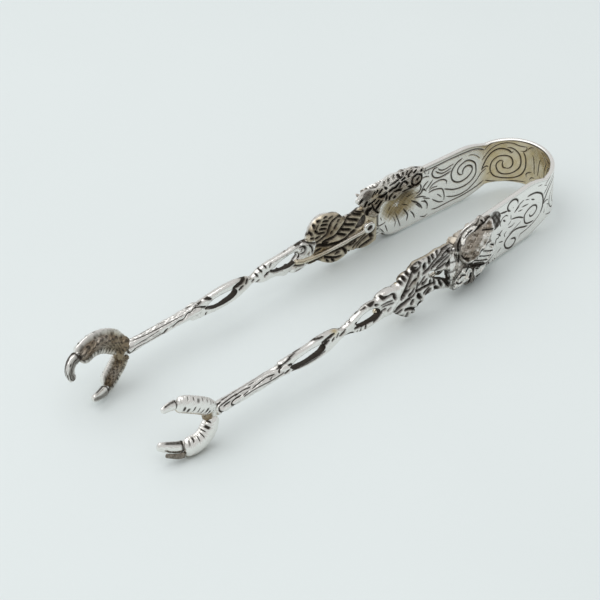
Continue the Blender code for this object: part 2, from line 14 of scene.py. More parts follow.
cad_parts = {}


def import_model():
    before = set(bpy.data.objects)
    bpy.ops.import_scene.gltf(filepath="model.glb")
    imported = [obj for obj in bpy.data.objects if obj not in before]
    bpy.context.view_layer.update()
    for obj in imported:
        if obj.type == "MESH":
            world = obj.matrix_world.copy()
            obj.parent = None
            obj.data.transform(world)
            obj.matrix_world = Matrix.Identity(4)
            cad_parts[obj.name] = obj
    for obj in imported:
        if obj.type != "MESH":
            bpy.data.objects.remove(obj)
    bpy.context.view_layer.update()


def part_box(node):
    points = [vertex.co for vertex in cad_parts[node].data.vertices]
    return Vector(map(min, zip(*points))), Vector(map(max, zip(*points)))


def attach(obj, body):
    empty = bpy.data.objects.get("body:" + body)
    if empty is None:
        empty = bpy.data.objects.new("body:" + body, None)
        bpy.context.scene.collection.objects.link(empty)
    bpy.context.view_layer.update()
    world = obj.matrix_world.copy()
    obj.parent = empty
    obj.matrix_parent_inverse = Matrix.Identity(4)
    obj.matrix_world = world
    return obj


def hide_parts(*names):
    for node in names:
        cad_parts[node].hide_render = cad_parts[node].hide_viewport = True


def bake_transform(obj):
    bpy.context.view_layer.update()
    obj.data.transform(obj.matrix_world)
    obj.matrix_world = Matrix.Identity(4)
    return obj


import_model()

MM = 0.001

# The arm's plan, as in the solids
BOW_RADIUS = 8.3
ARM_SPREAD = math.radians(5.4)
ARM_BOW_IN = 4.7
STRAP_THICKNESS = 0.95
CROWN_WIDTH = 10.6
CUSP_WIDTH = 9.8
STRAP_WIDTH = 12.7
CUSP_AT = 11.7
SHOULDER_LENGTH = 6.3
STRAP_LENGTH = 39.8
STRAP_END_RADIUS = 5.0
CLAW_ROOT = 103.96
FLEX_FROM = 3.0                  # the real bow flexes between these two places; here they are only placed
FLEX_TO = 11.0

MIDDLE_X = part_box("bow_crown")[1].x / MM - STRAP_THICKNESS / 2
MIDDLE_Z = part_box("far_strap_leg")[0].z / MM + STRAP_WIDTH / 2
TABLE_LINE = 5.85                # height of the strap's middle over the table in the photograph
PHOTO_FLOOR = MIDDLE_Z - TABLE_LINE
HIGHEST = 8.2                    # no casting rises further over the strap's middle
FRILL_TOP = 14.1                 # the far frill's top as seen, above which the rose mustn't show

SIGHT_ALONG = 0.95               # how far a point that is out by one shifts along the arm in the view
SIGHT_UP = 1.06                  # and how far up
STEP = 0.05                      # between the points of an outline or an engraved stroke
CUT_STEP = 0.06                  # between the points of a cut in the castings
CELL = 0.115                     # of the castings' sheets

SIDES = {"near": -1.0, "far": 1.0}


# Places

def plan(s):
    """Place, direction and outward normal of the strip's centreline in plan, on the +Y side."""
    straight_from = BOW_RADIUS * (math.pi / 2 - ARM_SPREAD)
    angle = np.minimum(s, straight_from) / BOW_RADIUS
    run = np.maximum(s - straight_from, 0.0)
    claw_run = CLAW_ROOT - straight_from
    x = BOW_RADIUS * (np.cos(angle) - 1.0) - run * math.cos(ARM_SPREAD)
    y = BOW_RADIUS * np.sin(angle) + run * math.sin(ARM_SPREAD) - ARM_BOW_IN * (run / claw_run) ** 2
    heading = np.where(run > 0.0, math.pi - ARM_SPREAD, math.pi / 2 + angle)
    along = np.stack([np.cos(heading), np.sin(heading) - 2.0 * ARM_BOW_IN * run / claw_run**2], 1)
    along /= np.linalg.norm(along, axis=1)[:, None]
    return x, y, along


def bent(side, s, n, h):
    """World places, in metres, of flat points on one arm."""
    x, y, along = plan(s)
    x = x + along[:, 1] * n + MIDDLE_X
    y = side * (y - along[:, 0] * n)
    return np.stack([x, y, h + MIDDLE_Z], 1) * MM


def clamp(value):
    return np.clip(value, 0.0, 1.0)


def smooth(low, high, value):
    """From nought at low to one at high, with soft ends."""
    t = clamp((value - low) / (high - low))
    return t * t * (3.0 - 2.0 * t)


def soft_spot(a, b, centre, radius):
    """A round mark that fades to its rim."""
    return np.exp(-((a - centre[0]) ** 2 + (b - centre[1]) ** 2) / radius**2)


def soft_spots(a, b, *spots):
    """Round marks added up, each with its strength, centre and radius."""
    return sum(strength * soft_spot(a, b, centre, radius) for strength, centre, radius in spots)


def bell(distance, width):
    return np.exp(-((distance / width) ** 2))


def round_rim(rim, radius):
    """A quarter round from nought at the rim to one."""
    return np.sqrt(1.0 - (1.0 - clamp(rim / radius)) ** 2)


def ripple(a, b, c=0.0, seed=0.0):
    """Even, repeatable unevenness between -1 and 1 from a few waves."""
    return (np.sin(1.7 * a + 2.3 * b + seed) * np.cos(1.1 * b - 1.9 * c + 2.0 * seed)
            + 0.6 * np.sin(4.1 * a - 3.3 * b + 2.7 * c + 3.1 * seed)
            + 0.4 * np.cos(7.3 * a + 6.1 * b - 5.2 * c + 1.3 * seed)) / 2.0


def curve_through(points, steps):
    """A smooth curve through a few points, as an array."""
    p = np.array(points, float)
    p = np.vstack([2 * p[0] - p[1], p, 2 * p[-1] - p[-2]])
    out = []
    t = np.linspace(0.0, 1.0, steps, endpoint=False)[:, None]
    for a, b, c, d in zip(p, p[1:], p[2:], p[3:]):
        out.append(0.5 * (2 * b + (c - a) * t + (2 * a - 5 * b + 4 * c - d) * t**2
                          + (3 * b - a - 3 * c + d) * t**3))
    out.append(p[-2][None])
    return np.concatenate(out)


# Lines, and the places nearest to them

def lengths_along(line):
    return np.concatenate([[0.0], np.cumsum(np.linalg.norm(np.diff(line, axis=0), axis=1))])


def evenly(line, step, past=0.0):
    """Points a step apart along a flat line, and how far each is from the nearer end."""
    reach = lengths_along(line)
    even = np.arange(0.0, reach[-1] + past, step)
    spots = np.stack([np.interp(even, reach, line[:, k]) for k in range(2)], 1)
    return spots, np.minimum(even, reach[-1] - even)


def tree_of(spots):
    tree = KDTree(len(spots))
    for k, (a, b) in enumerate(spots):
        tree.insert((a, b, 0.0), k)
    tree.balance()
    return tree


def field_of(lines, width):
    """A tree of the points of strokes, with half widths of width(half, distance to the end)."""
    spots = [line for _, (line, _) in lines]
    widths = [width(half, ends) for half, (_, ends) in lines]
    return tree_of(np.concatenate(spots)), np.concatenate(widths)


def cuts_field(strokes):
    """The field of cuts in the castings, which are drawn as the eye sees them."""
    return field_of([(half, evenly(curve_through(points, 10), CUT_STEP, CUT_STEP)) for half, points in strokes],
                    lambda half, ends: half * (0.6 + 0.4 * clamp(ends / (2.0 * half))))


def nearest(field, a, b):
    """The distance from each place to the nearest stroke's middle, and that stroke's half width."""
    tree, widths = field
    found = [tree.find_n((x, y, 0.0), 1)[0] for x, y in zip(a, b)]
    index = np.array([index for _, index, _ in found], int)
    return np.array([distance for _, _, distance in found]), widths[index]


def cuts_at(field, a, b):
    """Depth of the nearest cut at seen places, from 0 to 1, and the distance from its edge."""
    away, half = nearest(field, a, b)
    depth = 1.0 - clamp((away - 0.75 * half) / (0.7 * half + 0.03))
    return smooth(0.0, 1.0, depth), np.maximum(away - half, 0.0)


def seen(spots, outer):
    """Where flat points show on the sheet of the arm: the outer side as seen on the near arm, and the
    inner side as seen on the far one."""
    drift = np.where(outer, -1.0, 1.0) * spots[:, 1]
    return spots[:, 0] + SIGHT_ALONG * drift, spots[:, 2] + TABLE_LINE + SIGHT_UP * drift


class Outline:
    """A smooth closed outline. depth() is positive inside it."""

    def __init__(self, points, rounds=6):
        ring = list(points)
        line = curve_through([ring[-1]] + ring + ring[:2], rounds)[rounds:-rounds - 1]
        self.line, _ = evenly(np.vstack([line, line[:1]]), STEP)
        self.tree = tree_of(self.line)

    def inside(self, a, b):
        hit = np.zeros(len(a), bool)
        for (x0, y0), (x1, y1) in zip(self.line, np.roll(self.line, -1, axis=0)):
            if y0 == y1:
                continue
            crosses = (y0 > b) != (y1 > b)
            hit ^= crosses & (a < x0 + (b - y0) * (x1 - x0) / (y1 - y0))
        return hit

    def depth(self, a, b, reach=2.5):
        """The distance to the outline, which is measured as far as reach outside it."""
        low, high = self.line.min(0) - reach, self.line.max(0) + reach
        close = (a > low[0]) & (a < high[0]) & (b > low[1]) & (b < high[1])
        depth = np.full(len(a), -reach)
        spots = np.nonzero(close)[0]
        away = np.array([self.tree.find((a[k], b[k], 0.0))[2] for k in spots])
        depth[spots] = np.where(self.inside(a[spots], b[spots]), away, -np.minimum(away, reach))
        return depth


# Meshes

def plain(oxide_and_shade=0.0, brown=0.0, gold=0.0):
    """The three marks of a piece, nought where they aren't given."""
    return {"oxide_and_shade": oxide_and_shade, "brown": brown, "gold": gold}


def lay_marks(mesh, marks):
    for key, values in marks.items():
        layer = mesh.attributes.new(key, "FLOAT", "POINT")
        layer.data.foreach_set("value", np.broadcast_to(values, len(mesh.vertices)).astype(np.float32))


def placed(name, data):
    made = bpy.data.objects.new(name, data)
    bpy.context.scene.collection.objects.link(made)
    return made


def skin(name, side, along, around, place):
    """A grid of the unit square whose points place(u, v) lays out flat, with marks such as oxide.

    Its long sides meet, and its ends come to points or are capped."""
    bm = bmesh.new()
    bmesh.ops.create_grid(bm, x_segments=along, y_segments=around, size=0.5)
    mesh = bpy.data.meshes.new(name)
    bm.to_mesh(mesh)
    bm.free()
    co = np.empty(len(mesh.vertices) * 3, np.float32)
    mesh.vertices.foreach_get("co", co)
    unit = co.reshape(-1, 3).astype(float) + 0.5
    spots, marks = place(unit[:, 0], unit[:, 1])
    mesh.vertices.foreach_set("co", bent(side, *spots.T).astype(np.float32).ravel())
    lay_marks(mesh, marks)
    bm = bmesh.new()
    bm.from_mesh(mesh)
    bmesh.ops.remove_doubles(bm, verts=bm.verts, dist=2e-6)
    rims = [edge for edge in bm.edges if edge.is_boundary]
    if rims:
        bmesh.ops.holes_fill(bm, edges=rims)
    if bm.calc_volume(signed=True) < 0.0:
        bmesh.ops.reverse_faces(bm, faces=bm.faces)
    bm.to_mesh(mesh)
    bm.free()
    mesh.shade_smooth()
    return placed(name, mesh)


def casting(name, hand, outline, openings, form):
    """A closed casting from a sheet of small cells, cut to an outline with openings.

    form(a, b, rim, hole, front) lays both faces out and marks them. rim and hole are the distances in
    from the outline and from the nearest opening."""
    low = outline.line.min(0) - 0.4 * CELL
    size = outline.line.max(0) + 0.4 * CELL - low
    bm = bmesh.new()
    bmesh.ops.create_grid(bm, x_segments=int(size[0] / CELL), y_segments=int(size[1] / CELL), size=0.5)
    for vert in bm.verts:
        vert.co.x = low[0] + (vert.co.x + 0.5) * size[0]
        vert.co.y = low[1] + (vert.co.y + 0.5) * size[1]
    middles = np.array([face.calc_center_median()[:2] for face in bm.faces])
    keep = outline.inside(middles[:, 0], middles[:, 1])
    for opening in openings:
        keep &= ~opening.inside(middles[:, 0], middles[:, 1])
    bmesh.ops.delete(bm, geom=[face for face, kept in zip(bm.faces, keep) if not kept], context="FACES")
    while True:
        pinched = [vert for vert in bm.verts if sum(edge.is_boundary for edge in vert.link_edges) > 2]
        if not pinched:
            break
        bmesh.ops.delete(bm, geom=list({vert.link_faces[0] for vert in pinched}), context="FACES")
    tree = tree_of(np.concatenate([outline.line] + [opening.line for opening in openings]))
    for vert in bm.verts:
        if vert.is_boundary:
            spot, _, away = tree.find((vert.co.x, vert.co.y, 0.0))
            if away < 1.2 * CELL:
                vert.co = spot
    made = bmesh.ops.extrude_face_region(bm, geom=bm.faces[:])
    raised = {item for item in made["geom"] if isinstance(item, bmesh.types.BMVert)}
    front = np.array([vert in raised for vert in bm.verts])
    flat = np.array([vert.co[:2] for vert in bm.verts])
    a, b = flat[:, 0], flat[:, 1]
    rim = np.array([outline.tree.find((x, y, 0.0))[2] for x, y in flat])
    hole = np.full(len(a), 9.0)  # further than any shape looks
    for opening in openings:
        hole = np.minimum(hole, [opening.tree.find((x, y, 0.0))[2] for x, y in flat])
    spots, marks = form(a, b, rim, hole, front)
    for vert, place in zip(bm.verts, bent(SIDES[hand], *spots.T)):
        vert.co = place
    bmesh.ops.recalc_face_normals(bm, faces=bm.faces)
    if bm.calc_volume(signed=True) < 0.0:
        bmesh.ops.reverse_faces(bm, faces=bm.faces)
    mesh = bpy.data.meshes.new(f"{hand}_{name}")
    bm.to_mesh(mesh)
    bm.free()
    lay_marks(mesh, marks)
    mesh.shade_smooth()
    mesh.set_sharp_from_angle(angle=1.1)
    return placed(f"{hand}_{name}", mesh)


def tube(name, hand, path, size, along, around, shape, flat, marks, drawn_on=0.0):
    """A closed tube along a flat path of (s, n, h) points. size(t) is its half width up and down, flat its
    depth over that, shape(t, angle) a rise over it, and drawn_on the depth of the arm's cuts in it.
    angle runs from the top through the outer side. Its ends are rounded."""
    lengths = lengths_along(path)
    total = lengths[-1]

    def at(reach):
        reach = np.clip(reach, 0.0, total)
        return np.stack([np.interp(reach, lengths, path[:, k]) for k in range(3)], 1)

    def place(u, v):
        centre = at(u * total)
        tangent = at((u + 0.02) * total) - at((u - 0.02) * total)
        tangent /= np.linalg.norm(tangent, axis=1)[:, None]
        across = np.cross(tangent, np.array([0.0, 1.0, 0.0]))
        across /= np.linalg.norm(across, axis=1)[:, None]
        out = np.cross(across, tangent)
        angle = 2.0 * math.pi * v
        radius = size(u)
        cap = np.minimum(u, 1.0 - u) * total
        rounding = np.sqrt(clamp(1.0 - (1.0 - clamp(cap / (0.6 * radius + 1e-6))) ** 2))
        lift = shape(u, angle) if shape else 0.0

        def surface(cut):
            reach = radius * rounding + (lift - cut) * clamp(cap / 0.3)
            reach = np.maximum(reach, 0.0) * (cap > 1e-9)
            up, outward = reach * np.cos(angle), flat * reach * np.sin(angle)
            return centre + across * up[:, None] + out * outward[:, None]

        spots = surface(0.0)
        found = marks(u, angle)
        if drawn_on:
            outer = np.sin(angle) >= 0.0
            cut, _ = cuts_of_arm(*seen(spots, outer), outer)
            spots = surface(drawn_on * cut)
            found["oxide_and_shade"] = np.maximum(found["oxide_and_shade"], cut)
        return spots, found

    return skin(name, SIDES[hand], along, around, place)


# Engraving, as strokes with a half width: points along the arm and above the table

CROWN_STROKES = [
    (0.13, [(-1, 10.4), (3, 10.45), (6, 10.5), (8, 10.45), (9.7, 10.3), (10.8, 9.85), (11.7, 9.3)]),
    (0.13, [(2.3, 9.5), (3, 9.35), (4, 9.4), (5.3, 9.8), (7, 9.85), (8.8, 9.5), (10.3, 8.75), (11.3, 7.9),
            (12.2, 7.1)]),
    (0.19, [(5.2, 7.8), (5.5, 7.6), (6.3, 8.2), (8, 8.6), (9.7, 8.1), (10.9, 7.1), (11.75, 5.8), (12.3, 4.8)]),
    (0.15, [(7.2, 5.5), (7.8, 5.7), (8.5, 5.2), (8.7, 4.4), (8.2, 3.1), (7.2, 2.4), (5.9, 2.4), (4.7, 3.0),
            (3.7, 4.2), (3.4, 5.6), (3.7, 7.1), (4.5, 8.1), (5.5, 8.65), (6.4, 8.8)]),
    (0.15, [(6.3, 3.7), (7.1, 4.0), (7.35, 4.8), (7.2, 5.5)]),
    (0.15, [(6.3, 3.7), (5.7, 3.85), (5.2, 4.6), (5.2, 5.6), (5.7, 6.5), (7, 6.85), (8.4, 6.7), (9.5, 6.0),
            (10, 5), (10, 3.75), (9.4, 2.5), (8.2, 1.7), (6.3, 1.35), (4.7, 1.6), (3.3, 2.5), (2.5, 4),
            (2.3, 5.6), (2.5, 7.1), (3, 8.1)]),
    (0.12, [(0.8, 8.1), (0.5, 7.3), (0.3, 6), (0.2, 4.6), (0.1, 3.75)]),
    (0.10, [(-1.6, 8.1), (-1, 6.7), (-0.6, 5.6), (-0.6, 4.2)]),
    (0.13, [(0.7, 9.9), (1.5, 9.5), (2, 9.0)]),
    (0.13, [(2.3, 9.5), (2.2, 9.0), (2.7, 8.3), (3.5, 8.2)]),
    (0.12, [(0.8, 3.85), (1.5, 3.6), (2.1, 3), (2, 2.3)]),
    (0.12, [(0.1, 2.8), (0.9, 2.5), (1.2, 1.9)]),
    (0.12, [(2.2, 1.0), (4.2, 0.8), (6.8, 0.6), (8.4, 0.7), (10, 1.15), (11.2, 1.7)]),
    (0.15, [(10.6, 4.8), (11, 5.1), (11.75, 5), (12.3, 4.6)]),
    (0.07, [(9.7, 3.4), (10.3, 3.3), (10.9, 3.0)]),
]
LEG_STROKES = [
    (0.15, [(11.8, 9.3), (13, 10.0), (14.5, 10.55), (17, 10.8), (21, 10.9), (24, 10.85), (28, 10.9)]),
    (0.10, [(12.2, 10.9), (14, 11.5), (17, 11.9), (22, 12.0), (27, 12.1)]),
    (0.14, [(11.6, 1.9), (12.6, 1.5), (13.8, 1.15), (15.7, 0.8), (17.8, 0.6), (20.9, 0.6), (24, 0.5),
            (25.4, 0.8)]),
    (0.14, [(11.2, 4.5), (12.4, 4.0), (13.4, 2.9), (14.7, 2.0), (16.1, 1.35), (18, 1.15), (19.9, 1.5),
            (21.5, 2.2)]),
    (0.17, [(17.5, 5.8), (18.2, 6.1), (18.7, 6.9), (18.5, 7.8), (17.6, 8.4), (16.3, 8.65), (15.1, 8.1),
            (14.1, 7.1), (13.8, 5.8), (13.9, 4.4), (14.9, 3.3), (16.3, 2.8), (18, 2.75), (19.7, 3.1),
            (20.9, 3.65), (22.1, 4.3)]),
    (0.19, [(17.3, 5.8), (17.3, 6.7), (16.75, 7.25), (15.9, 7.3), (15, 6.7), (14.8, 5.8), (15.3, 5),
            (16.3, 4.4), (17.8, 4.2), (19, 4.6), (20, 5.5), (20.4, 6.9), (20.1, 8.1), (19, 9.2), (17.6, 9.7)]),
    (0.07, [(12.9, 7.7), (13.4, 8.4), (14.7, 9.4), (16.1, 9.8)]),
    (0.14, [(19.9, 9.4), (20.9, 9.2), (22.2, 9.05), (23.2, 9.3), (24, 10)]),
    (0.14, [(20.5, 8.65), (21.5, 8.4), (22.8, 8.4), (23.9, 9), (24.6, 9.7)]),
    (0.18, [(20.6, 7.9), (22, 7.7), (23.6, 7.7), (24.9, 8.3), (25.5, 9.4), (25.1, 10.3), (24.1, 10.4)]),
    (0.14, [(21.6, 5.4), (21.6, 6), (22.4, 6.7), (23.6, 7), (25.1, 6.8), (26.1, 6.1)]),
    (0.11, [(24, 5.8), (25.3, 6), (26.3, 5.7)]),
    (0.15, [(22.1, 1.7), (22.1, 2.9), (22.6, 4.4), (23.6, 5), (25.1, 5.3), (26.3, 5.2)]),
    (0.15, [(22.3, 1.35), (23.4, 1.7), (24.5, 2.5), (25.3, 3.2)]),
    (0.13, [(22.8, 2.6), (23.3, 3.2), (24, 3.85)]),
    (0.14, [(25.9, 3.65), (27.8, 4.6)]),
    (0.16, [(26.6, 1.5), (26.5, 2.5), (27.2, 3.5), (28.2, 4)]),
    (0.15, [(25.3, 7.9), (25.9, 7.2), (27, 6.25)]),
    (0.17, [(26.5, 8.1), (27.4, 7.5), (28.2, 6.5)]),
    (0.13, [(26.3, 9.2), (27.4, 9.5), (28.4, 9.3)]),
    (0.12, [(26.4, 10.4), (26.6, 9.9)]),
    (0.12, [(27.2, 11.6), (27.5, 10.8), (27.3, 10.2)]),
    (0.13, [(26.5, 0.2), (27.2, -0.1), (28.4, 0.4)]),
    (0.24, [(27.9, 2.2), (28.5, 3.2), (29.4, 4.2), (30.4, 4.9)]),
    (0.20, [(26.9, 5.9), (27.6, 6.6), (28.4, 6.0), (29.3, 5.6)]),
    (0.18, [(28.6, 8.4), (28.3, 7.4), (28.7, 6.6), (29.5, 6.3)]),
    (0.16, [(29.8, 0.7), (30.2, 1.8), (30.9, 2.8)]),
    (0.15, [(27.0, 4.6), (28.4, 5.2), (29.8, 5.4)]),
    (0.15, [(30.2, 6.6), (31.6, 6.2)]),
    (0.14, [(31.4, 4.2), (32.6, 4.9)]),
    (0.15, [(33.6, 4.6), (34.0, 5.6)]),
    (0.14, [(36.2, 5.0), (35.4, 5.8)]),
    (0.14, [(36.6, 3.6), (35.7, 4.4)]),
    (0.15, [(28.4, 2.6), (29.6, 4)]),
    (0.14, [(26.5, 1.8), (26.7, 3), (27.4, 4)]),
    (0.20, [(31.9, 1.0), (31.7, 2.4), (32.4, 3.8)]),
    (0.14, [(33.6, 0.4), (34.1, 2.1), (34.4, 3.6)]),
    (0.12, [(35, 1), (34.9, 2.2), (35.2, 3.2)]),
    (0.13, [(36.9, 0.6), (37.6, 2.6)]),
    (0.12, [(38.8, 4.8), (38.4, 3.9)]),
    (0.12, [(37.5, 3.1), (39, 3.0), (40, 3.2)]),
]
OUTER_LEG_STROKES = [
    (0.22, [(17.5, 9.3), (16.25, 9.2), (14.8, 8.85), (13.5, 8.1), (12.7, 7.3), (12.3, 6), (12.3, 5),
            (12.5, 4), (13.1, 3)]),
    (0.13, [(13.1, 3), (14.2, 2.3), (15.8, 1.7), (17.5, 1.35), (19.2, 1.25), (19.7, 0.8)]),
    (0.20, [(16.6, 4.6), (16.35, 4.05), (15.7, 3.8), (15, 4), (14.4, 4.5), (14.3, 5.2), (14.7, 5.8),
            (15.6, 6.2), (16.7, 6.1), (17.6, 5.7), (18.2, 5.1), (18.2, 4.2), (17.9, 3.3), (17.1, 2.7),
            (16, 2.45), (15.2, 2.4)]),
    (0.19, [(18.5, 4.8), (19.4, 5.4), (20.6, 6.0), (22.3, 6.5)]),
    (0.20, [(15.2, 7.4), (16.2, 8.0)]),
    (0.16, [(17.2, 7.4), (19.2, 7.7)]),
    (0.14, [(19, 7), (20.3, 7.25)]),
    (0.12, [(16.9, 8.4), (18.1, 8.85)]),
    (0.15, [(18.6, 9.1), (20, 8.75), (21.4, 7.8)]),
    (0.15, [(20.0, 8.4), (21.6, 7.6)]),
    (0.24, [(20.5, 9.4), (20.6, 10), (21.25, 10.7), (22.3, 11), (23.3, 10.7), (23.75, 10), (23.5, 9.2),
            (22.8, 8.65)]),
    (0.22, [(23.75, 9.2), (25, 9.5), (26, 9.8)]),
    (0.12, [(21.9, 9.2), (22.1, 9.0)]),
    (0.22, [(17.1, 2.1), (18.3, 2.5), (19.6, 3), (21.25, 3.3), (22.7, 2.9), (23.75, 2.3), (24.2, 1.5),
            (23.75, 0.4), (22.7, -0.2), (21.5, -0.1), (20.8, 0.6), (21.1, 1.35), (22.3, 1.7)]),
    (0.10, [(19.2, 4.3), (20.4, 4), (21.7, 3.6), (23.1, 3.3)]),
    (0.14, [(21.25, 5.1), (22.3, 4.8), (23.3, 5)]),
    (0.16, [(22.5, 6.2), (23.3, 5.6)]),
    (0.13, [(10, 3.5), (11, 4.1)]),
    (0.12, [(11.7, 3.3), (11.8, 2.3)]),
    (0.12, [(11.25, 8.75), (12.1, 9.2)]),
    (0.10, [(12.9, 9.8), (14.2, 10)]),
    (0.36, [(24.4, 7.1), (24.9, 7.6)]),
    (0.14, [(23.5, 7.9), (24.3, 8.4), (25.3, 8.2), (25.9, 7.3), (25.7, 6.6)]),
    (0.14, [(22.6, 7.7), (22.5, 6.5)]),
    (0.22, [(25.2, 5.4), (25.9, 4.8), (25.6, 4.2)]),
    (0.16, [(26.8, 5.2), (26.1, 4.9), (26.2, 4.2), (26.9, 4.1), (27.2, 3.3), (27.4, 2.6)]),
    (0.18, [(24.8, 2.5), (26, 2.9)]),
    (0.16, [(25.3, 1.2), (26.4, 0.6)]),
    (0.14, [(23.8, 4.4), (24.4, 3.9), (24.2, 3.2)]),
    (0.12, [(26.4, -1.4), (27.4, -0.1)]),
    (0.12, [(27.3, -1.2), (27.9, -0.2)]),
    (0.20, [(28.7, -1.3), (29.2, 0.1)]),
    (0.12, [(30.3, -0.6), (30.6, 0.2)]),
]
# The pocket of painted shadow between the rose's rim and the strap's outer face, as seen
ROSE_SHADOW_POCKET = [(25.9, 9.4), (26.6, 10.6), (27.8, 11.3), (28.8, 11.2), (29.4, 10.2), (29.6, 9), (29.4, 8), (28.6, 7.0),
          (27.4, 6.8), (26.4, 7.1), (25.8, 7.6), (26.1, 8.6)]
STROKE_SHIFT = 0.35              # from where a stroke is seen to where it lies on the strap's face


def stroke_field(strokes):
    """The field of engraved strokes, which taper at both ends."""
    lines = [(half, evenly(curve_through(points, 14), STEP)) for half, points in strokes]
    return field_of([(half, (line + STROKE_SHIFT, ends)) for half, (line, ends) in lines],
                    lambda half, ends: half * (0.45 + 0.55 * clamp(ends / 0.7)))


def cut_depth(field, s, h):
    """How deep the graver has gone at flat points, from 0 to 1."""
    away, half = nearest(field, s, h + TABLE_LINE)
    return smooth(0.0, 1.0, 1.0 - clamp((away - 0.45 * half) / (0.95 * half)))


INNER_FIELD = stroke_field(CROWN_STROKES + LEG_STROKES)
OUTER_FIELD = stroke_field(CROWN_STROKES + OUTER_LEG_STROKES)


# The strap

def strap_half_width(s):
    crown = (CROWN_WIDTH - (CROWN_WIDTH - CUSP_WIDTH) * (s / CUSP_AT) ** 2) / 2
    rise = np.sin(math.pi / 2 * clamp((s - CUSP_AT) / SHOULDER_LENGTH))
    leg = (CUSP_WIDTH + (STRAP_WIDTH - CUSP_WIDTH) * rise) / 2
    into_end = np.clip(s - (STRAP_LENGTH - STRAP_END_RADIUS), 0.0, STRAP_END_RADIUS)
    corner = np.sqrt(np.maximum(STRAP_END_RADIUS**2 - into_end**2, 0.0))
    return np.where(s <= CUSP_AT, crown, leg) - (STRAP_END_RADIUS - corner)


def dish(s, h):
    """The hollow behind the rose."""
    across = (s - 34.3) / 5.5
    up = h / 3.8
    return 0.9 * np.maximum(1.0 - across**2 - up**2, 0.0) ** 1.5


FACE_ROWS = 118                  # of the mesh, across each face and round each edge
EDGE_ROWS = 7
ROSE_SHADOW_EDGE = Outline(ROSE_SHADOW_POCKET)
# Where painted shadow lies in the gap beside the calyx, on the inner face
CALYX_SHADOW_EDGE = Outline([(37.5, -0.1), (38.0, 1.3), (38.9, 2.4), (40.2, 3.1), (40.1, 1.6), (39.2, 0.2), (38.2, -0.7)])


def strap_half(hand):
    """One half of the strap from the crown to its rounded end, engraved on both faces."""
    around = 2 * (FACE_ROWS + EDGE_ROWS)

    def place(u, v):
        # The last rows stand closer together, for the rounded end.
        s = -0.02 + (STRAP_LENGTH + 0.02) * np.where(
            u < 0.87, u / 0.87 * 0.873, 0.873 + 0.127 * np.sin(math.pi / 2 * (u - 0.87) / 0.13))
        step = v * around
        outer = step <= FACE_ROWS
        inner = (step >= FACE_ROWS + EDGE_ROWS) & (step <= 2 * FACE_ROWS + EDGE_ROWS)
        facing = np.where(outer, 1.0, -1.0)
        half = strap_half_width(np.abs(s))
        round_off = 0.26 * np.sqrt(clamp((STRAP_LENGTH - s) / 0.3)) + 0.02
        flat_half = half - round_off
        across = np.where(outer, -1.0 + 2.0 * step / FACE_ROWS,
                          np.where(inner, 1.0 - 2.0 * (step - FACE_ROWS - EDGE_ROWS) / FACE_ROWS, 0.0))
        h = flat_half * across
        n = facing * STRAP_THICKNESS / 2
        top = (step > FACE_ROWS) & (step < FACE_ROWS + EDGE_ROWS)
        bottom = step > 2 * FACE_ROWS + EDGE_ROWS
        for edge, sign, first in ((top, 1.0, FACE_ROWS), (bottom, -1.0, 2 * FACE_ROWS + EDGE_ROWS)):
            turn = math.pi * (step - first) / EDGE_ROWS
            h = np.where(edge, sign * (flat_half + round_off * np.sin(turn)), h)
            n = np.where(edge, sign * (STRAP_THICKNESS / 2 * np.cos(turn)), n)
        thin = np.sqrt(clamp((STRAP_LENGTH - s) / 0.35)) * 0.6 + 0.4
        n = n * thin
        cut = np.zeros(len(s))
        cut[outer] = cut_depth(OUTER_FIELD, s[outer], h[outer])
        cut[inner] = cut_depth(INNER_FIELD, s[inner], h[inner])
        n = n - facing * 0.11 * cut
        n = n + dish(s, h)
        height = h + TABLE_LINE - STROKE_SHIFT
        along = s - STROKE_SHIFT
        ragged = 0.14 * ripple(1.9 * s, 2.2 * h, seed=6.0)
        hollow = 1.0 - smooth(0.55, 1.15, ragged + np.hypot((along - 33.7) / 5.0, (height - 5.8) / 3.4))
        n = n + 0.10 * hollow * inner * ripple(3.0 * s, 2.7 * h, seed=2.0)
        # The outside gets painted shadow, over some oxide, in the pocket between the rose's rim and the strap, and
        # painted shade under the rose.
        rose_shadow = smooth(-0.12, 0.12, ROSE_SHADOW_EDGE.depth(along, height)) * outer
        under = smooth(29.0, 30.0, along) * outer
        # Painted shadow of the frill: a dark olive band high in the hollow on the inner side
        frill_shadow = inner * soft_spot(along, height, (32.4, 8.0), 2.4)
        spots = inner * hollow * smooth(-0.1, 0.8, ripple(2.6 * s, 2.9 * h, seed=9.0))
        edge_dark = 0.35 * smooth(0.92, 1.0, np.abs(across)) * (outer | inner)
        end_dark = 0.6 * smooth(STRAP_LENGTH - 0.35, STRAP_LENGTH - 0.05, s)
        # Painted shadow in the gap beside the calyx
        calyx_shadow = smooth(-0.1, 0.2, CALYX_SHADOW_EDGE.depth(along, height)) * inner
        rose_shadow_tone = 0.95 - 0.35 * smooth(-0.2, 0.9, ripple(1.4 * s, 1.1 * h)) - 0.2 * smooth(10.2, 11.3, height)
        oxide_and_shade = np.maximum(np.maximum(cut, 0.8 * calyx_shadow), rose_shadow * rose_shadow_tone)
        oxide_and_shade = oxide_and_shade + 0.6 * under + edge_dark * smooth(11.0, 12.0, s) + 0.55 * frill_shadow + 0.45 * spots + end_dark
        gold = inner * (1.0 - smooth(10.5, 14.5, s)) * (0.8 + 0.2 * ripple(0.5 * s, 0.4 * h, seed=1.0))
        gold = np.maximum(gold, inner * hollow * (1.0 + 0.2 * ripple(1.1 * s, 1.3 * h, seed=3.0)))
        brown = inner * hollow * (0.42 + 0.30 * soft_spot(along, height, (35.5, 4.0), 1.5) + 0.4 * frill_shadow)
        return np.stack([s, n, h], 1), plain(clamp(oxide_and_shade), brown, gold)

    return skin(f"{hand}_strap", SIDES[hand], 360, around, place)


# Dark cuts of the arms, as strokes with a half width, drawn as the eye sees them

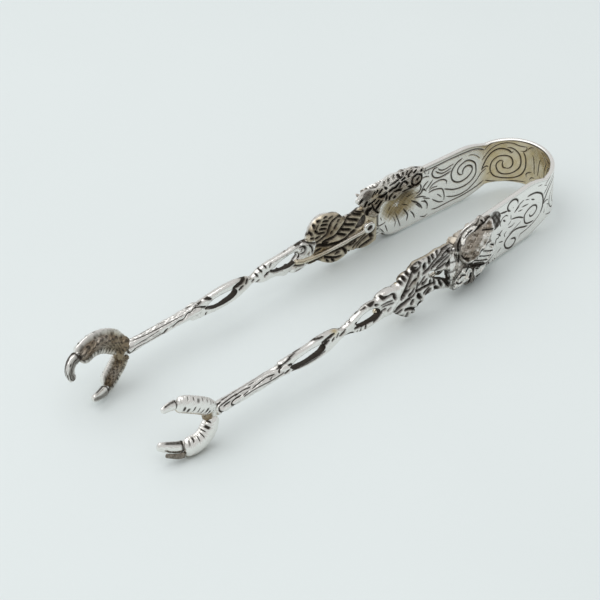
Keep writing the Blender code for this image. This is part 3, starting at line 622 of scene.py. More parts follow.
OUTER_CUTS = [
    # The spray
    (0.20, [(40.0, 10.3), (40.9, 10.9), (42, 10.8), (43.4, 10.6), (44.4, 10.1), (45.5, 9.3), (46.6, 8.4),
            (47.4, 7.9), (48.6, 7.7)]),
    (0.14, [(40.5, 9.3), (41, 9.4)]), (0.14, [(41.6, 9.3), (42.2, 9.6)]),
    (0.50, [(40.2, 7.6), (41.5, 7.3), (42.6, 6.9)]), (0.30, [(41.2, 6.8), (42.2, 6.4)]),
    (0.15, [(44.9, 12), (45, 11), (45.1, 10.3)]), (0.17, [(46.2, 11.8), (46.3, 11), (46.2, 10)]),
    (0.17, [(47.4, 11.3), (47.2, 10.2), (46.9, 9.3)]), (0.15, [(47.9, 11.6), (48.8, 11.4)]),
    (0.28, [(48.7, 10), (48.4, 9.2), (48.2, 8.6)]),
    (0.28, [(50.2, 11.9), (51, 11.6), (51.9, 11.4), (52, 10.6), (51.6, 9.9), (50.6, 9.7), (49.9, 10)]),
    (0.20, [(51.1, 10.4), (51.8, 10.6)]), (0.14, [(49.7, 10.6), (50.2, 11.2)]),
    (0.22, [(50.2, 8.7), (50.3, 8.1)]),
    (0.24, [(53.4, 11.2), (53.6, 10.6), (53.3, 10.0)]), (0.22, [(54.9, 10.5), (54.6, 9.9), (54.3, 9.3)]),
    (0.14, [(55.9, 9.9), (55.5, 9.4), (55.2, 8.9)]),
    (0.27, [(52.3, 10), (53, 9.2), (53.6, 8.4), (54.0, 7.6), (54.4, 6.9), (54.9, 6.2), (55.2, 5.5)]),
    (0.32, [(51.8, 5.8), (52.5, 5.3), (53.2, 5.3)]), (0.22, [(53.3, 6.6), (54.2, 6.3), (54.9, 5.7)]),
    (0.28, [(52.8, 4.4), (53.8, 4.3), (54.8, 4.1), (55.8, 3.8), (56.7, 3.3)]),
    (0.13, [(50.6, 0.6), (51.6, 1.1), (52.8, 1.9), (54.2, 2.4)]),
    (0.28, [(49.3, 2.3), (49.8, 3), (50.4, 3.7)]),
    (0.10, [(52.2, 3.5), (51.85, 3.1), (52.2, 2.7), (52.55, 3.1), (52.2, 3.5)]),
    (0.12, [(51.9, 0), (52.2, 0.6)]), (0.16, [(53.7, 0.2), (53.6, 1.2)]), (0.10, [(54.8, 1.2), (55.6, 1.3)]),
    (0.14, [(46, 4.0), (47, 4.1), (48.5, 4.3), (49.8, 4.5), (50.8, 4.8)]),
    (0.22, [(50.5, 6.4), (50.6, 5.6), (51.1, 4.8)]), (0.12, [(51.1, 4.8), (51.6, 4.5), (52.4, 4.4)]),
    (0.42, [(43.2, 3.6), (42.6, 3.0), (42.1, 2.2), (41.5, 1.3)]), (0.25, [(45.4, 2.9), (45.0, 2.4), (44.6, 2.2)]),
    (0.13, [(45.7, 4.6), (45.5, 3.6)]), (0.12, [(44.4, 3.9), (44, 3.0), (43.7, 2.4)]),
    (0.12, [(46.7, 5.0), (46.6, 4.3)]), (0.18, [(47.7, 5.7), (48.3, 5.2), (48.9, 5.5)]),
    (0.12, [(48.3, 6.6), (49.2, 6.1), (49.9, 5.8)]),
    (0.08, [(42, 8.5), (43.5, 8.0), (45, 7.3)]), (0.08, [(42.5, 9.1), (44, 8.6), (46, 7.9)]),
    (0.07, [(43, 7.3), (44.4, 6.9), (45.6, 6.7)]), (0.10, [(41.5, 10), (42.6, 9.9), (43.8, 9.6)]),
    (0.07, [(43.6, 9.3), (45, 8.7), (46.4, 7.7)]), (0.09, [(50.9, 7.7), (52, 7.9), (53.2, 7.4)]),
    (0.08, [(47.0, 3.4), (48.3, 2.9)]), (0.08, [(46.6, 2.9), (47.9, 2.4)]),
    (0.13, [(49.4, 1.5), (50.2, 1.3)]), (0.10, [(55.2, 2.8), (56.4, 2.4)]),
    # The husk
    (0.30, [(57.4, 7.7), (57.0, 6.9), (56.6, 6.1)]), (0.16, [(57.4, 7.7), (58.2, 7.8), (58.9, 7.7)]),
    (0.28, [(58.8, 7.8), (59.8, 7.9), (60.3, 8.3), (60.6, 8.9)]),
    (0.08, [(56.4, 9.5), (58, 9.3), (59.6, 9.4)]), (0.08, [(57.6, 6.2), (59.2, 6.6), (60.6, 6.7)]),
    (0.07, [(57.3, 5.5), (58.8, 5.9), (60.2, 6.1)]), (0.25, [(58.1, 4.7), (58.7, 4.5)]),
    # The vine
    (0.34, [(62.3, 8.5), (63.2, 8.2), (64.1, 8.9), (64.9, 8.7)]), (0.18, [(61.4, 7.1), (62.2, 7.7)]),
    (0.46, [(59.4, 5.1), (60.4, 4.9), (61.4, 4.3), (62.4, 3.8)]),
    (0.34, [(62.8, 4.5), (64, 4.6), (65.5, 4.9), (67.5, 5.1)]),
    (0.16, [(64.6, 4.2), (64.8, 3.1)]), (0.14, [(65.9, 4.2), (66.2, 3.3)]), (0.13, [(66.9, 4.1), (67.2, 3.5)]),
    (0.18, [(68, 4.3), (69, 4.6), (70.3, 4.7)]), (0.14, [(70.2, 6.2), (70.8, 5.8), (71.6, 5.6)]),
    (0.10, [(68.7, 7.1), (69, 7.1)]), (0.10, [(69.5, 7.2), (69.8, 7.1)]), (0.10, [(67.3, 6.3), (67.5, 6.0)]),
    (0.36, [(73.3, 6.9), (74.2, 6.8), (75.4, 6.6), (76.2, 6.5)]), (0.5, [(74.6, 6.0), (75.6, 5.8), (76.4, 5.8)]),
    (0.22, [(73.2, 5.9), (73.6, 5.5)]), (0.12, [(72.0, 6.3), (72.5, 5.7)]),
    (0.50, [(75.9, 5.1), (78, 5.05), (81, 5.05), (84.3, 5.2)]),
    (0.18, [(84.2, 5.8), (85, 6.1)]), (0.24, [(84.8, 4.8), (85.8, 4.6)]), (0.14, [(82.5, 3.9), (83.5, 4.1)]),
    (0.06, [(76, 7.7), (79, 8.0), (82, 7.8), (84.5, 7.5)]), (0.06, [(75.5, 4.1), (78, 3.7), (81, 3.8),
                                                                    (84, 4.2)]),
    (0.07, [(64.5, 8.3), (67, 8.1), (70, 7.4)]), (0.09, [(73.5, 7.9), (75.5, 8.2), (77.5, 8.6)]),
    # The stem
    (0.10, [(84.4, 7.3), (86, 7.0), (88, 6.8)]), (0.18, [(86.6, 6.9), (87.3, 6.2), (87.2, 5.5)]),
    (0.15, [(91.3, 7.5), (92.5, 7.7), (94.3, 7.6)]), (0.13, [(93.6, 7.1), (95, 7.1)]),
    (0.12, [(97.8, 7.4), (98.6, 7.5)]), (0.13, [(101.2, 7.4), (102.3, 7.4)]),
    (0.10, [(88.5, 5.9), (90.5, 6.3), (92.5, 6.0), (94, 5.6)]), (0.10, [(94.5, 6.3), (96.5, 6.6), (98.3, 6.3)]),
    (0.14, [(97.9, 6.6), (99.3, 6.5), (101, 6.2), (102, 6)]),
    (0.14, [(96.8, 5.6), (98.2, 5.6), (99.0, 5.2), (99.0, 4.6), (98.4, 4.2)]),
    (0.12, [(102.2, 5.9), (102, 4.9), (101.3, 4.2), (100.8, 4.1)]), (0.2, [(100.8, 3.7), (101.4, 3.5)]),
    (0.25, [(102, 6.9), (103.2, 6.6)]), (0.15, [(99.6, 5.7), (101, 5.5)]), (0.12, [(89, 5.5), (89.6, 5.3)]),
    (0.07, [(86, 4.9), (89, 4.8), (93, 5.1), (96, 4.9)]), (0.10, [(95, 5.6), (96.2, 5.3)]),
]
INNER_CUTS = [
    # The spray
    (0.26, [(45.2, 9.7), (46.2, 9.3), (47.4, 8.8), (48.4, 8.2), (49.2, 7.4), (50, 6.6), (51, 5.9), (52.4, 5.7),
            (53.6, 5.7)]),
    (0.16, [(49.2, 10.2), (50.2, 10.3), (51.2, 9.9), (51.8, 9.2), (52.2, 8.2), (52.6, 7.2), (53.6, 6.8),
            (54.8, 6.5), (55.8, 6.6), (57, 7.2), (58.2, 7.9), (59.2, 8.2)]),
    (0.24, [(53.0, 11.5), (53.4, 11.5)]), (0.24, [(51.6, 10.9), (52.1, 10.8)]),
    (0.26, [(54.6, 11.2), (55.2, 11.5)]),
    (0.18, [(56.2, 11.2), (56, 10.3)]), (0.14, [(52.4, 10.2), (53.6, 10.6)]), (0.14, [(52.6, 9.4), (54.0, 9.9)]),
    (0.14, [(52.9, 8.6), (54.4, 9.1)]), (0.14, [(53.2, 7.8), (54.8, 8.3)]), (0.14, [(55.0, 8.6), (55.8, 9.5)]),
    (0.14, [(56.6, 8.9), (57.2, 9.8)]), (0.12, [(54.4, 7.4), (55.6, 7.6)]), (0.14, [(55.0, 10.4), (55.3, 9.7)]),
    (0.12, [(57.4, 10.4), (57.6, 9.6)]), (0.12, [(56.2, 7.9), (57.0, 8.4)]),
    (0.15, [(46.4, 9.2), (45.2, 8.6), (43.9, 7.9)]), (0.16, [(47.6, 8.6), (46.2, 7.9), (44.8, 7.0)]),
    (0.16, [(48.6, 7.9), (47.2, 7.2), (45.8, 6.5)]), (0.17, [(49.4, 7.1), (48.2, 6.5), (47.0, 5.9)]),
    (0.17, [(50.4, 6.4), (49.2, 5.8), (48.2, 5.2)]), (0.10, [(45.4, 9.3), (44.2, 8.7), (43.4, 8.4)]),
    (0.42, [(45.8, 4.9), (46.7, 5.1), (47.4, 4.8)]), (0.26, [(47.4, 4.7), (48.6, 4.3), (50, 4.1), (51.5, 4.3),
                                                             (52.8, 4.6), (54.0, 5.2), (55.2, 5.7)]),
    (0.22, [(49.9, 9.5), (50.1, 9.3)]), (0.20, [(48.1, 9.6), (48.3, 9.4)]), (0.18, [(51.5, 7.3), (51.6, 7.0)]),
    (0.10, [(50.4, 8.7), (50.9, 7.9)]), (0.10, [(52.4, 5.0), (54.0, 5.4)]), (0.2, [(54.2, 4.4), (55.6, 4.5)]),
    (0.40, [(43.4, 5.9), (44.3, 5.5), (45.2, 5.6)]), (0.45, [(41.2, 7.3), (42.2, 7.8), (42.6, 8.1)]),
    (0.28, [(40.2, 6.2), (41.4, 6.9)]),
    (0.14, [(43.4, 3.0), (46, 2.8), (50, 2.5), (55, 2.6), (58, 3.0)]),
    (0.40, [(40.8, 2.8), (41.4, 2.1), (41, 1.3)]), (0.12, [(41.6, 2.0), (43.2, 1.5), (45, 0.9)]),
    (0.12, [(42.6, 2.5), (44.5, 1.8), (46.2, 1.3)]), (0.12, [(41, 0.7), (42.6, 0.4), (44.4, 0.3)]),
    (0.12, [(45.3, 2.4), (46.2, 2.1), (47.2, 2.3)]), (0.18, [(48.9, 2.4), (48.3, 1.6), (48.1, 0.8)]),
    (0.13, [(49.4, 0.7), (50.8, 0.9), (52, 1.4), (53.2, 2)]), (0.12, [(46.2, 0), (46.8, 0.7)]),
    (0.12, [(47.2, 0.3), (47.5, 1.1)]), (0.12, [(51, 0.2), (51.5, 0.8)]), (0.12, [(52.4, 0.7), (52.8, 1.2)]),
    (0.12, [(44.9, 0.0), (45.4, 0.5)]), (0.14, [(49.8, 1.9), (50.6, 1.7)]), (0.12, [(54.6, 1.9), (55.4, 2.3)]),
    # The husk
    (0.14, [(57.3, 6.9), (56.6, 6), (56.5, 4.7)]), (0.22, [(57.3, 5.1), (57.5, 4.9)]),
    (0.22, [(59.6, 7.4), (58.6, 7.1), (58.2, 6.4), (58.6, 5.8), (59.3, 5.7)]), (0.12, [(59.1, 6.9), (59.3, 6.4)]),
    (0.10, [(57.6, 7.6), (59, 8.0), (60.6, 8.1)]), (0.16, [(58.6, 3.0), (59.6, 3.3), (61.2, 3.8)]),
    (0.26, [(62.2, 2.9), (62.5, 2.7)]), (0.12, [(59.4, 2.3), (60.6, 2.2)]),
    # The vine
    (0.26, [(60.2, 6.4), (61.5, 5.7), (62.5, 5.2)]), (0.40, [(63, 4.8), (65, 4.9), (67, 5.5)]),
    (0.13, [(66.9, 7.2), (67.4, 6.6)]), (0.14, [(68.7, 7.6), (68.2, 6.8)]), (0.14, [(69.9, 7.2), (69.3, 6.4)]),
    (0.14, [(70.9, 6.7), (70.3, 5.8)]), (0.22, [(71.4, 5.6), (71.8, 5.4)]), (0.13, [(70.0, 4.9), (70.8, 4.6)]),
    (0.25, [(67.6, 5.5), (68.6, 5.1)]), (0.42, [(73.6, 7.1), (74.5, 6.5), (75.5, 6.3), (76.4, 6.2)]),
    (0.28, [(73.0, 6.4), (73.3, 5.7)]), (0.28, [(74.2, 5.4), (75, 5.1)]),
    (0.44, [(76.6, 4.9), (79, 4.6), (81, 4.6), (83.4, 5.0)]),
    (0.24, [(82.1, 6.4), (82.9, 6.9), (83.7, 7.2)]), (0.14, [(83.5, 5.3), (84.6, 5.8), (85.6, 6.2), (86.6, 6.4)]),
    (0.18, [(83.4, 3.9), (83.6, 3.5)]), (0.08, [(75, 7.7), (78, 7.8), (81, 7.7), (84, 7.3), (86.6, 6.8)]),
    (0.08, [(61, 8.2), (64, 7.9), (67, 7.8), (69.5, 7.5)]),
    # The stem
    (0.15, [(84.4, 6.9), (86, 6.5), (87, 5.9), (87.9, 6.0), (88.8, 5.1), (90.2, 5.2), (91.6, 4.7)]),
    (0.10, [(89, 6.1), (93, 6.2), (98, 6.4), (101.5, 6.9)]), (0.24, [(92.9, 4.9), (94, 4.4)]),
    (0.08, [(94, 4.6), (97, 4.5), (101, 4.6)]), (0.07, [(95, 5.6), (98, 5.4), (101, 5.3)]),
    (0.12, [(100.8, 4.5), (101.9, 4.2), (102.7, 4.5), (102.7, 5.3), (102.9, 6.1)]),
]
OUTER_ARM = cuts_field([(min(half + 0.05, 0.36), points) for half, points in OUTER_CUTS])
INNER_ARM = cuts_field(INNER_CUTS)


def cuts_of_arm(a, b, outer):
    """Cuts at seen places on the outer or the inner side."""
    cut = np.zeros(len(a))
    clear = np.full(len(a), 0.6)
    for field, part in ((OUTER_ARM, outer), (INNER_ARM, ~outer)):
        spots = np.nonzero(part)[0]
        cut[spots], clear[spots] = cuts_at(field, a[spots], b[spots])
    return cut, clear


# The spray

SPRAY_OUTLINE = {
    "near": [(39.9, 9.2), (40.7, 10.4), (42, 11.0), (43.5, 11.1), (45, 11.4), (46.2, 11.2), (47.5, 11.2),
             (49.6, 11.5), (51, 11.7), (52.2, 11.4), (53.2, 10.9), (54.5, 10.8), (55.6, 10.3), (56.3, 9.5),
             (57.6, 8.4), (58.6, 6.8), (58.4, 4.8), (57.4, 3.5), (56.8, 2.8), (56, 2.0), (55, 1.2), (54, 0.4),
             (53.2, 0.2), (52.5, 0.6), (51.9, 0.2), (51, 0.9), (50, 1.4), (49, 1.6), (48.6, 2.4), (47, 2.5),
             (46, 2.5), (44.5, 1.9), (43, 1.3), (42, 0.8), (41, 0.2), (40.4, 0.6), (40.2, 2.5), (39.9, 5),
             (39.8, 7.5)],
    "far": [(41.2, 8.9), (43, 9.5), (44.7, 9.8), (46, 9.4), (48.2, 9.4), (49, 10.0), (50, 11.1), (51, 11.7),
            (52.5, 12.2), (54, 12.5), (55.5, 12.2), (56.5, 11.6), (57.3, 10.7), (57.9, 9.5), (58.3, 8.4),
            (58.8, 6.8), (58.8, 4.4), (58, 2.8), (56, 2.5), (55, 2.2), (54, 1.4), (52.5, 0.5), (51, 0.1),
            (49.5, 0.3), (48.3, 0.6), (47, 0.8), (45.5, 0.5), (44, 0.1), (42.5, 0.0), (41, 0.3), (40.3, 0.8),
            (40.2, 2.5), (40.2, 5), (40.4, 7.4)],
}
SPRAY_SLOT = {
    "near": [(41.9, 3.3), (42.0, 4.6), (42.9, 5.9), (45.0, 6.7), (46.9, 7.6), (47.5, 7.3), (46.6, 5.9),
             (45.1, 4.8), (43.4, 3.9), (42.4, 3.2)],
    "far": [(43.4, 5.9), (43.1, 6.8), (43.3, 7.7), (44.1, 7.8), (45.3, 6.9), (45.9, 6.2), (45.4, 5.7),
            (44.3, 5.5)],
}


def spray(hand):
    """Leaves cast in one spray: ribs stand between dark cuts, and a slot opens beside the stalk."""
    def form(a, b, rim, hole, front):
        round_edge = round_rim(rim, 0.8)
        about = 0.20 + 0.38 * round_rim(rim, 1.4)
        seen_a = a - SIGHT_ALONG * about
        seen_b = b - SIGHT_UP * about
        cut, clear = cuts_of_arm(seen_a, seen_b, front)
        puff = 0.42 * np.sqrt(clamp(clear / 0.50)) * round_edge * np.clip(hole / 0.4, 0.3, 1.0)
        lift = 0.20 + 0.36 * round_edge + puff - 0.42 * cut * round_edge
        lift = lift + 0.035 * ripple(3.0 * a, 3.4 * b, seed=1.0) * round_edge
        middle = 0.30 * np.sin(0.55 * (a - 40.0)) * clamp(rim / 1.2)
        n = np.where(front, 1.0, -1.0) * lift + middle
        # Painted shade on the walls of the slot
        slot_wall_shade = 1.0 - smooth(0.0, 0.12, hole)
        oxide_and_shade = np.maximum(np.maximum(cut, 0.92 * slot_wall_shade), 0.95 * bell(clear, 0.22))
        mottle = smooth(0.2, 0.9, ripple(2.2 * a, 2.6 * b, seed=4.0))
        oxide_and_shade = clamp(oxide_and_shade + 0.30 * mottle * (1.0 - smooth(0.2, 0.5, clear)))
        brown = np.where(front, 0.16, 0.34) + 0.30 * ripple(0.9 * a, 1.3 * b, seed=2.0)
        brown = brown + 0.7 * soft_spot(seen_a, seen_b, (52, 7.6), 1.6)
        brown = clamp(brown + 0.5 * soft_spot(seen_a, seen_b, (55.5, 9.8), 1.3) * ~front)
        gold = np.where(front, 0.0, 0.58) + 0.35 * soft_spot(seen_a, seen_b, (54, 3.6), 2.0) * ~front
        return np.stack([a, n, b - TABLE_LINE], 1), plain(oxide_and_shade, brown, gold)

    return casting("leaf_spray", hand, Outline(SPRAY_OUTLINE[hand]), [Outline(SPRAY_SLOT[hand])], form)


HUSK_OUTLINE = {
    "near": [(54.9, 8.6), (55.8, 9.3), (57.2, 9.3), (58.8, 9.6), (60.4, 9.6), (61.5, 9.3), (62.3, 8.4),
             (62.2, 7.4), (61.4, 6.6), (60.4, 5.9), (60.6, 5.0), (60.0, 3.9), (58.4, 3.6), (57.4, 4.2),
             (56.4, 5.2), (55.4, 6.4)],
    "far": [(56.4, 8.3), (57.8, 8.6), (59.4, 8.6), (60.8, 8.3), (61.0, 7.2), (60.4, 6.3), (61.4, 5.2),
            (62.4, 4.2), (62.6, 3.2), (61.4, 2.6), (59.6, 2.6), (58.2, 3.1), (57.0, 4.0), (56.2, 5.4),
            (55.8, 7.0)],
}


def husk(hand):
    """The bud husk, a cheek and a curled sepal."""
    def form(a, b, rim, hole, front):
        round_edge = round_rim(rim, 1.3)
        cut, clear = cuts_of_arm(a - 0.75, b - 0.85, front)
        puff = 0.16 * np.sqrt(clamp(clear / 0.7)) * round_edge
        lift = 0.35 + 0.62 * round_edge + puff - 0.36 * cut * round_edge
        n = np.where(front, 1.0, -1.0) * lift
        oxide_and_shade = np.maximum(cut, 0.55 * bell(clear, 0.16))
        return np.stack([a, n, b - TABLE_LINE], 1), plain(oxide_and_shade, 0.12 + 0.2 * ripple(a, b))

    return casting("husk_bud", hand, Outline(HUSK_OUTLINE[hand]), [], form)


# The vine: two strands that part round two eyes and cross between them

VINE_OUTLINE = {
    "near": [(58.6, 7.6), (60, 8.6), (62, 8.8), (63.6, 9.0), (65.2, 8.9), (67, 8.4), (69, 7.7), (70.6, 7.2),
             (71.6, 7.2), (73, 7.9), (75, 8.3), (77.5, 8.5), (80, 8.1), (83, 8.1), (86, 8.0), (87.6, 7.6),
             (87.6, 5.1), (86, 4.8), (84, 4.3), (81, 3.7), (78, 3.6), (75, 3.8), (73, 4.5), (71.6, 5.0),
             (70, 5.0), (68, 4.4), (66, 3.7), (64, 3.5), (62, 3.6), (60, 3.6), (58.6, 4.2)],
    "far": [(57.6, 7.8), (59, 8.6), (61.5, 8.6), (63, 8.4), (65, 8.2), (67, 8.1), (69, 7.9), (70.5, 7.5),
            (71.5, 6.9), (72.3, 6.7), (73, 7.1), (74.5, 7.6), (76.5, 7.9), (79, 8.0), (82, 7.8), (85, 7.4),
            (87.6, 6.9), (87.6, 4.4), (86, 3.9), (84, 3.7), (81, 3.4), (78, 3.4), (76, 3.7), (74, 4.4),
            (72.5, 5.1), (71.6, 5.2), (70.5, 4.5), (69, 4.1), (67, 4.1), (65.5, 3.7), (64.2, 3.1), (62.5, 3.2),
            (60.5, 3.3), (58.4, 3.5)],
}
FIRST_SLOT = {
    "near": [(61.2, 5.6), (61.6, 6.7), (62.8, 7.5), (64.8, 7.9), (66.8, 7.4), (67.8, 6.3), (67.0, 5.3), (65, 4.9),
             (63, 4.7), (61.8, 4.9)],
    "far": [(60.4, 6.3), (60.8, 7.3), (62.2, 7.7), (64.4, 7.4), (66.2, 6.8), (67.3, 6.0), (66.4, 5.3),
            (64.6, 4.9), (62.8, 4.8), (61.2, 5.3)],
}
SECOND_SLOT = {
    "near": [(76.0, 5.6), (76.6, 6.7), (78.5, 7.1), (81, 7.1), (83.6, 6.8), (84.8, 5.9), (84.2, 5.0), (82, 4.7),
             (79, 4.6), (77, 4.8)],
    "far": [(76.2, 5.4), (76.6, 6.3), (78.2, 6.7), (80.5, 6.8), (82.6, 6.5), (83.6, 5.7), (82.9, 4.8), (81, 4.4),
            (78.6, 4.4), (77, 4.7)],
}


def vine(hand):
    """Both strands, cast as one with their two eyes open."""
    def form(a, b, rim, hole, front):
        round_edge = round_rim(rim, 0.55)
        seen_a, seen_b = a - 0.5, b - 0.55
        cut, clear = cuts_of_arm(seen_a, seen_b, front)
        rope = ripple(1.3 * a + 0.8 * b, 2.6 * b - 0.4 * a, seed=3.0)
        lift = 0.22 + 0.36 * round_edge - 0.22 * cut * round_edge + 0.05 * rope * round_edge
        lift = lift + 0.10 * np.sqrt(clamp(clear / 0.5)) * round_edge
        n = np.where(front, 1.0, -1.0) * lift - 0.05
        # Painted shade on the walls of the eyes
        slot_wall_shade = 1.0 - smooth(0.0, 0.12, hole)
        fine = smooth(0.45, 0.9, ripple(2.1 * a, 5.2 * b + 0.7 * a, seed=6.0))
        oxide_and_shade = clamp(np.maximum(np.maximum(cut, slot_wall_shade), 0.30 * fine) + 0.4 * bell(clear, 0.14))
        gold = np.where(front, 0.9 * soft_spot(seen_a, seen_b, (73.0, 7.4), 0.9), 0.0)
        brown = np.where(front, soft_spots(seen_a, seen_b, (0.6, (63, 8.6), 1.1), (0.5, (70.8, 5.9), 0.7)),
                         soft_spots(seen_a, seen_b, (0.7, (74, 6.3), 1.4), (0.3, (61, 4), 1.8)))
        return np.stack([a, n, b - TABLE_LINE], 1), plain(oxide_and_shade, clamp(brown + 0.06), gold)

    return casting("entwined_vine", hand, Outline(VINE_OUTLINE[hand]),
                   [Outline(FIRST_SLOT[hand]), Outline(SECOND_SLOT[hand])], form)


# The rose

ROSE_OUTLINE = [(28.0, 7.2), (28.4, 8.6), (28.8, 10), (29.3, 11.0), (30.4, 11.2), (31.2, 11.5), (31.9, 12.3),
                (32.8, 12.4), (33.5, 11.6), (34.8, 11.5), (36.3, 11.4), (37.7, 11.0), (38.7, 10.4), (39.4, 9.4),
                (39.7, 8.3), (39.3, 7.0), (39.3, 5.4), (39.5, 3.6), (39.8, 1.8), (40.3, 0.4), (40.2, -0.9),
                (39, -1.4), (37.8, -1.3), (36.9, -1.2), (36.2, -1.9), (35.1, -2.1), (34.3, -2.4), (33.3, -1.9),
                (32.2, -1.7), (31, -1.0), (30, -0.3), (28.6, 0.2), (27.6, 1.1), (27.3, 2.3), (27.7, 3.5),
                (28.4, 4.4), (28.8, 5.5), (28.4, 6.4)]
# Petals as seen, from the lowest layer to the top one: outline, rise, brown, and the way its veins run
ROSE_PETALS = [
    ([(30.2, -0.2), (32, -1.5), (33.6, -1.7), (34.4, -0.4), (34.3, 1.2), (32.6, 0.6),
      (31.2, 0.5)], 0.30, 0.10, 0.55),
    ([(34.9, 1.1), (35.2, -0.6), (36.4, -1.0), (38.2, -1.2), (40.0, -0.8), (40.0, 0.8), (38.9, 2.4), (37, 2.7)],
     0.45, 0.05, 0.7),
    ([(27.5, 2.4), (27.9, 1.3), (29.4, 0.6), (31.2, 0.5), (33.6, 1.6), (35.8, 2.7), (36.9, 3.2), (36.5, 3.9),
      (34.4, 3.6), (32.2, 4.2), (30.4, 4.9), (28.9, 4.6), (27.9, 3.7)], 0.50, 0.12, 0.48),
    ([(28.5, 6.6), (28.05, 7.4), (28.5, 8.5), (28.9, 9.9), (29.9, 10.7), (30.9, 10.5), (31.5, 11.9), (32.4, 12.3),
      (33.0, 11.4), (33.8, 10.6), (35.1, 10.3), (36.6, 9.9), (37.6, 8.9), (38.4, 8.2), (38.7, 7), (38.4, 5.5),
      (37.6, 4.2), (36.3, 3.1), (34.6, 3.1), (33.2, 3.5), (32.4, 4.4), (31.5, 4.2), (30.8, 5.0), (30.0, 5.4),
      (29.6, 6.3)], 0.75, 0.85, 0.55),
    ([(33.4, 10.5), (34.2, 11.2), (36, 11.4), (37.6, 10.9), (38.3, 9.7), (38.1, 8.6), (37.4, 8.4), (36.9, 9.4),
      (35.8, 10.0), (34.6, 10.0)], 0.55, 0.0, 0.3),
]
ROSE_CUTS = [
    (0.10, [(28.8, 7.5), (30.5, 8.2), (32, 8.9)]), (0.10, [(36.2, 4.4), (37.4, 5.0), (38.2, 6.2)]),
    (0.26, [(31.0, 10.4), (32.4, 10.3), (33.6, 10.1), (34.2, 9.9)]), (0.18, [(31.8, 11.0), (32.4, 11.6)]),
    (0.10, [(28.6, 2.3), (30, 2.9), (31.8, 3.8)]), (0.09, [(29, 1.4), (31, 2.2), (33, 3.2)]),
    (0.09, [(30.4, 1.0), (32.4, 1.9), (34.6, 3.0)]), (0.10, [(28.3, 3.5), (29.4, 4.2)]),
    (0.45, [(31.4, 0.6), (32.6, 1.3), (33.8, 1.8), (35.2, 2.2)]), (0.22, [(35.0, 2.5), (36.4, 3.2)]),
    (0.34, [(35.3, 0.4), (35.4, -0.8), (35.7, -1.7)]), (0.26, [(31.9, -1.4), (32.8, -1.5), (33.6, -1.3)]),
    (0.25, [(33.9, -2.1), (34.2, -1.7)]), (0.13, [(36.9, 0.9), (37.8, 1.2), (38.6, 0.9)]),
    (0.12, [(37.8, -0.3), (38.8, -0.2), (39.4, 0.4)]), (0.12, [(38.0, 2.6), (38.8, 2.0), (39.5, 1.3)]),
    (0.32, [(38.3, 10.2), (38.9, 9.4), (39.0, 8.4), (38.9, 7.8)]),
    (0.16, [(38.8, 6.8), (38.7, 5.8), (38.9, 4.9)]),
    (0.14, [(29.4, 10.9), (30.1, 11.0)]), (0.13, [(36.0, 2.5), (36.9, 1.4)]), (0.10, [(33.0, 0.3), (34.0, 0.9)]),
    (0.10, [(34.9, 10.5), (35.9, 10.5), (36.9, 10.0)]),
]
ROSE_FIELD = cuts_field(ROSE_CUTS)
ROSE_BACK = 0.42                 # how far out the rose's flat back lies


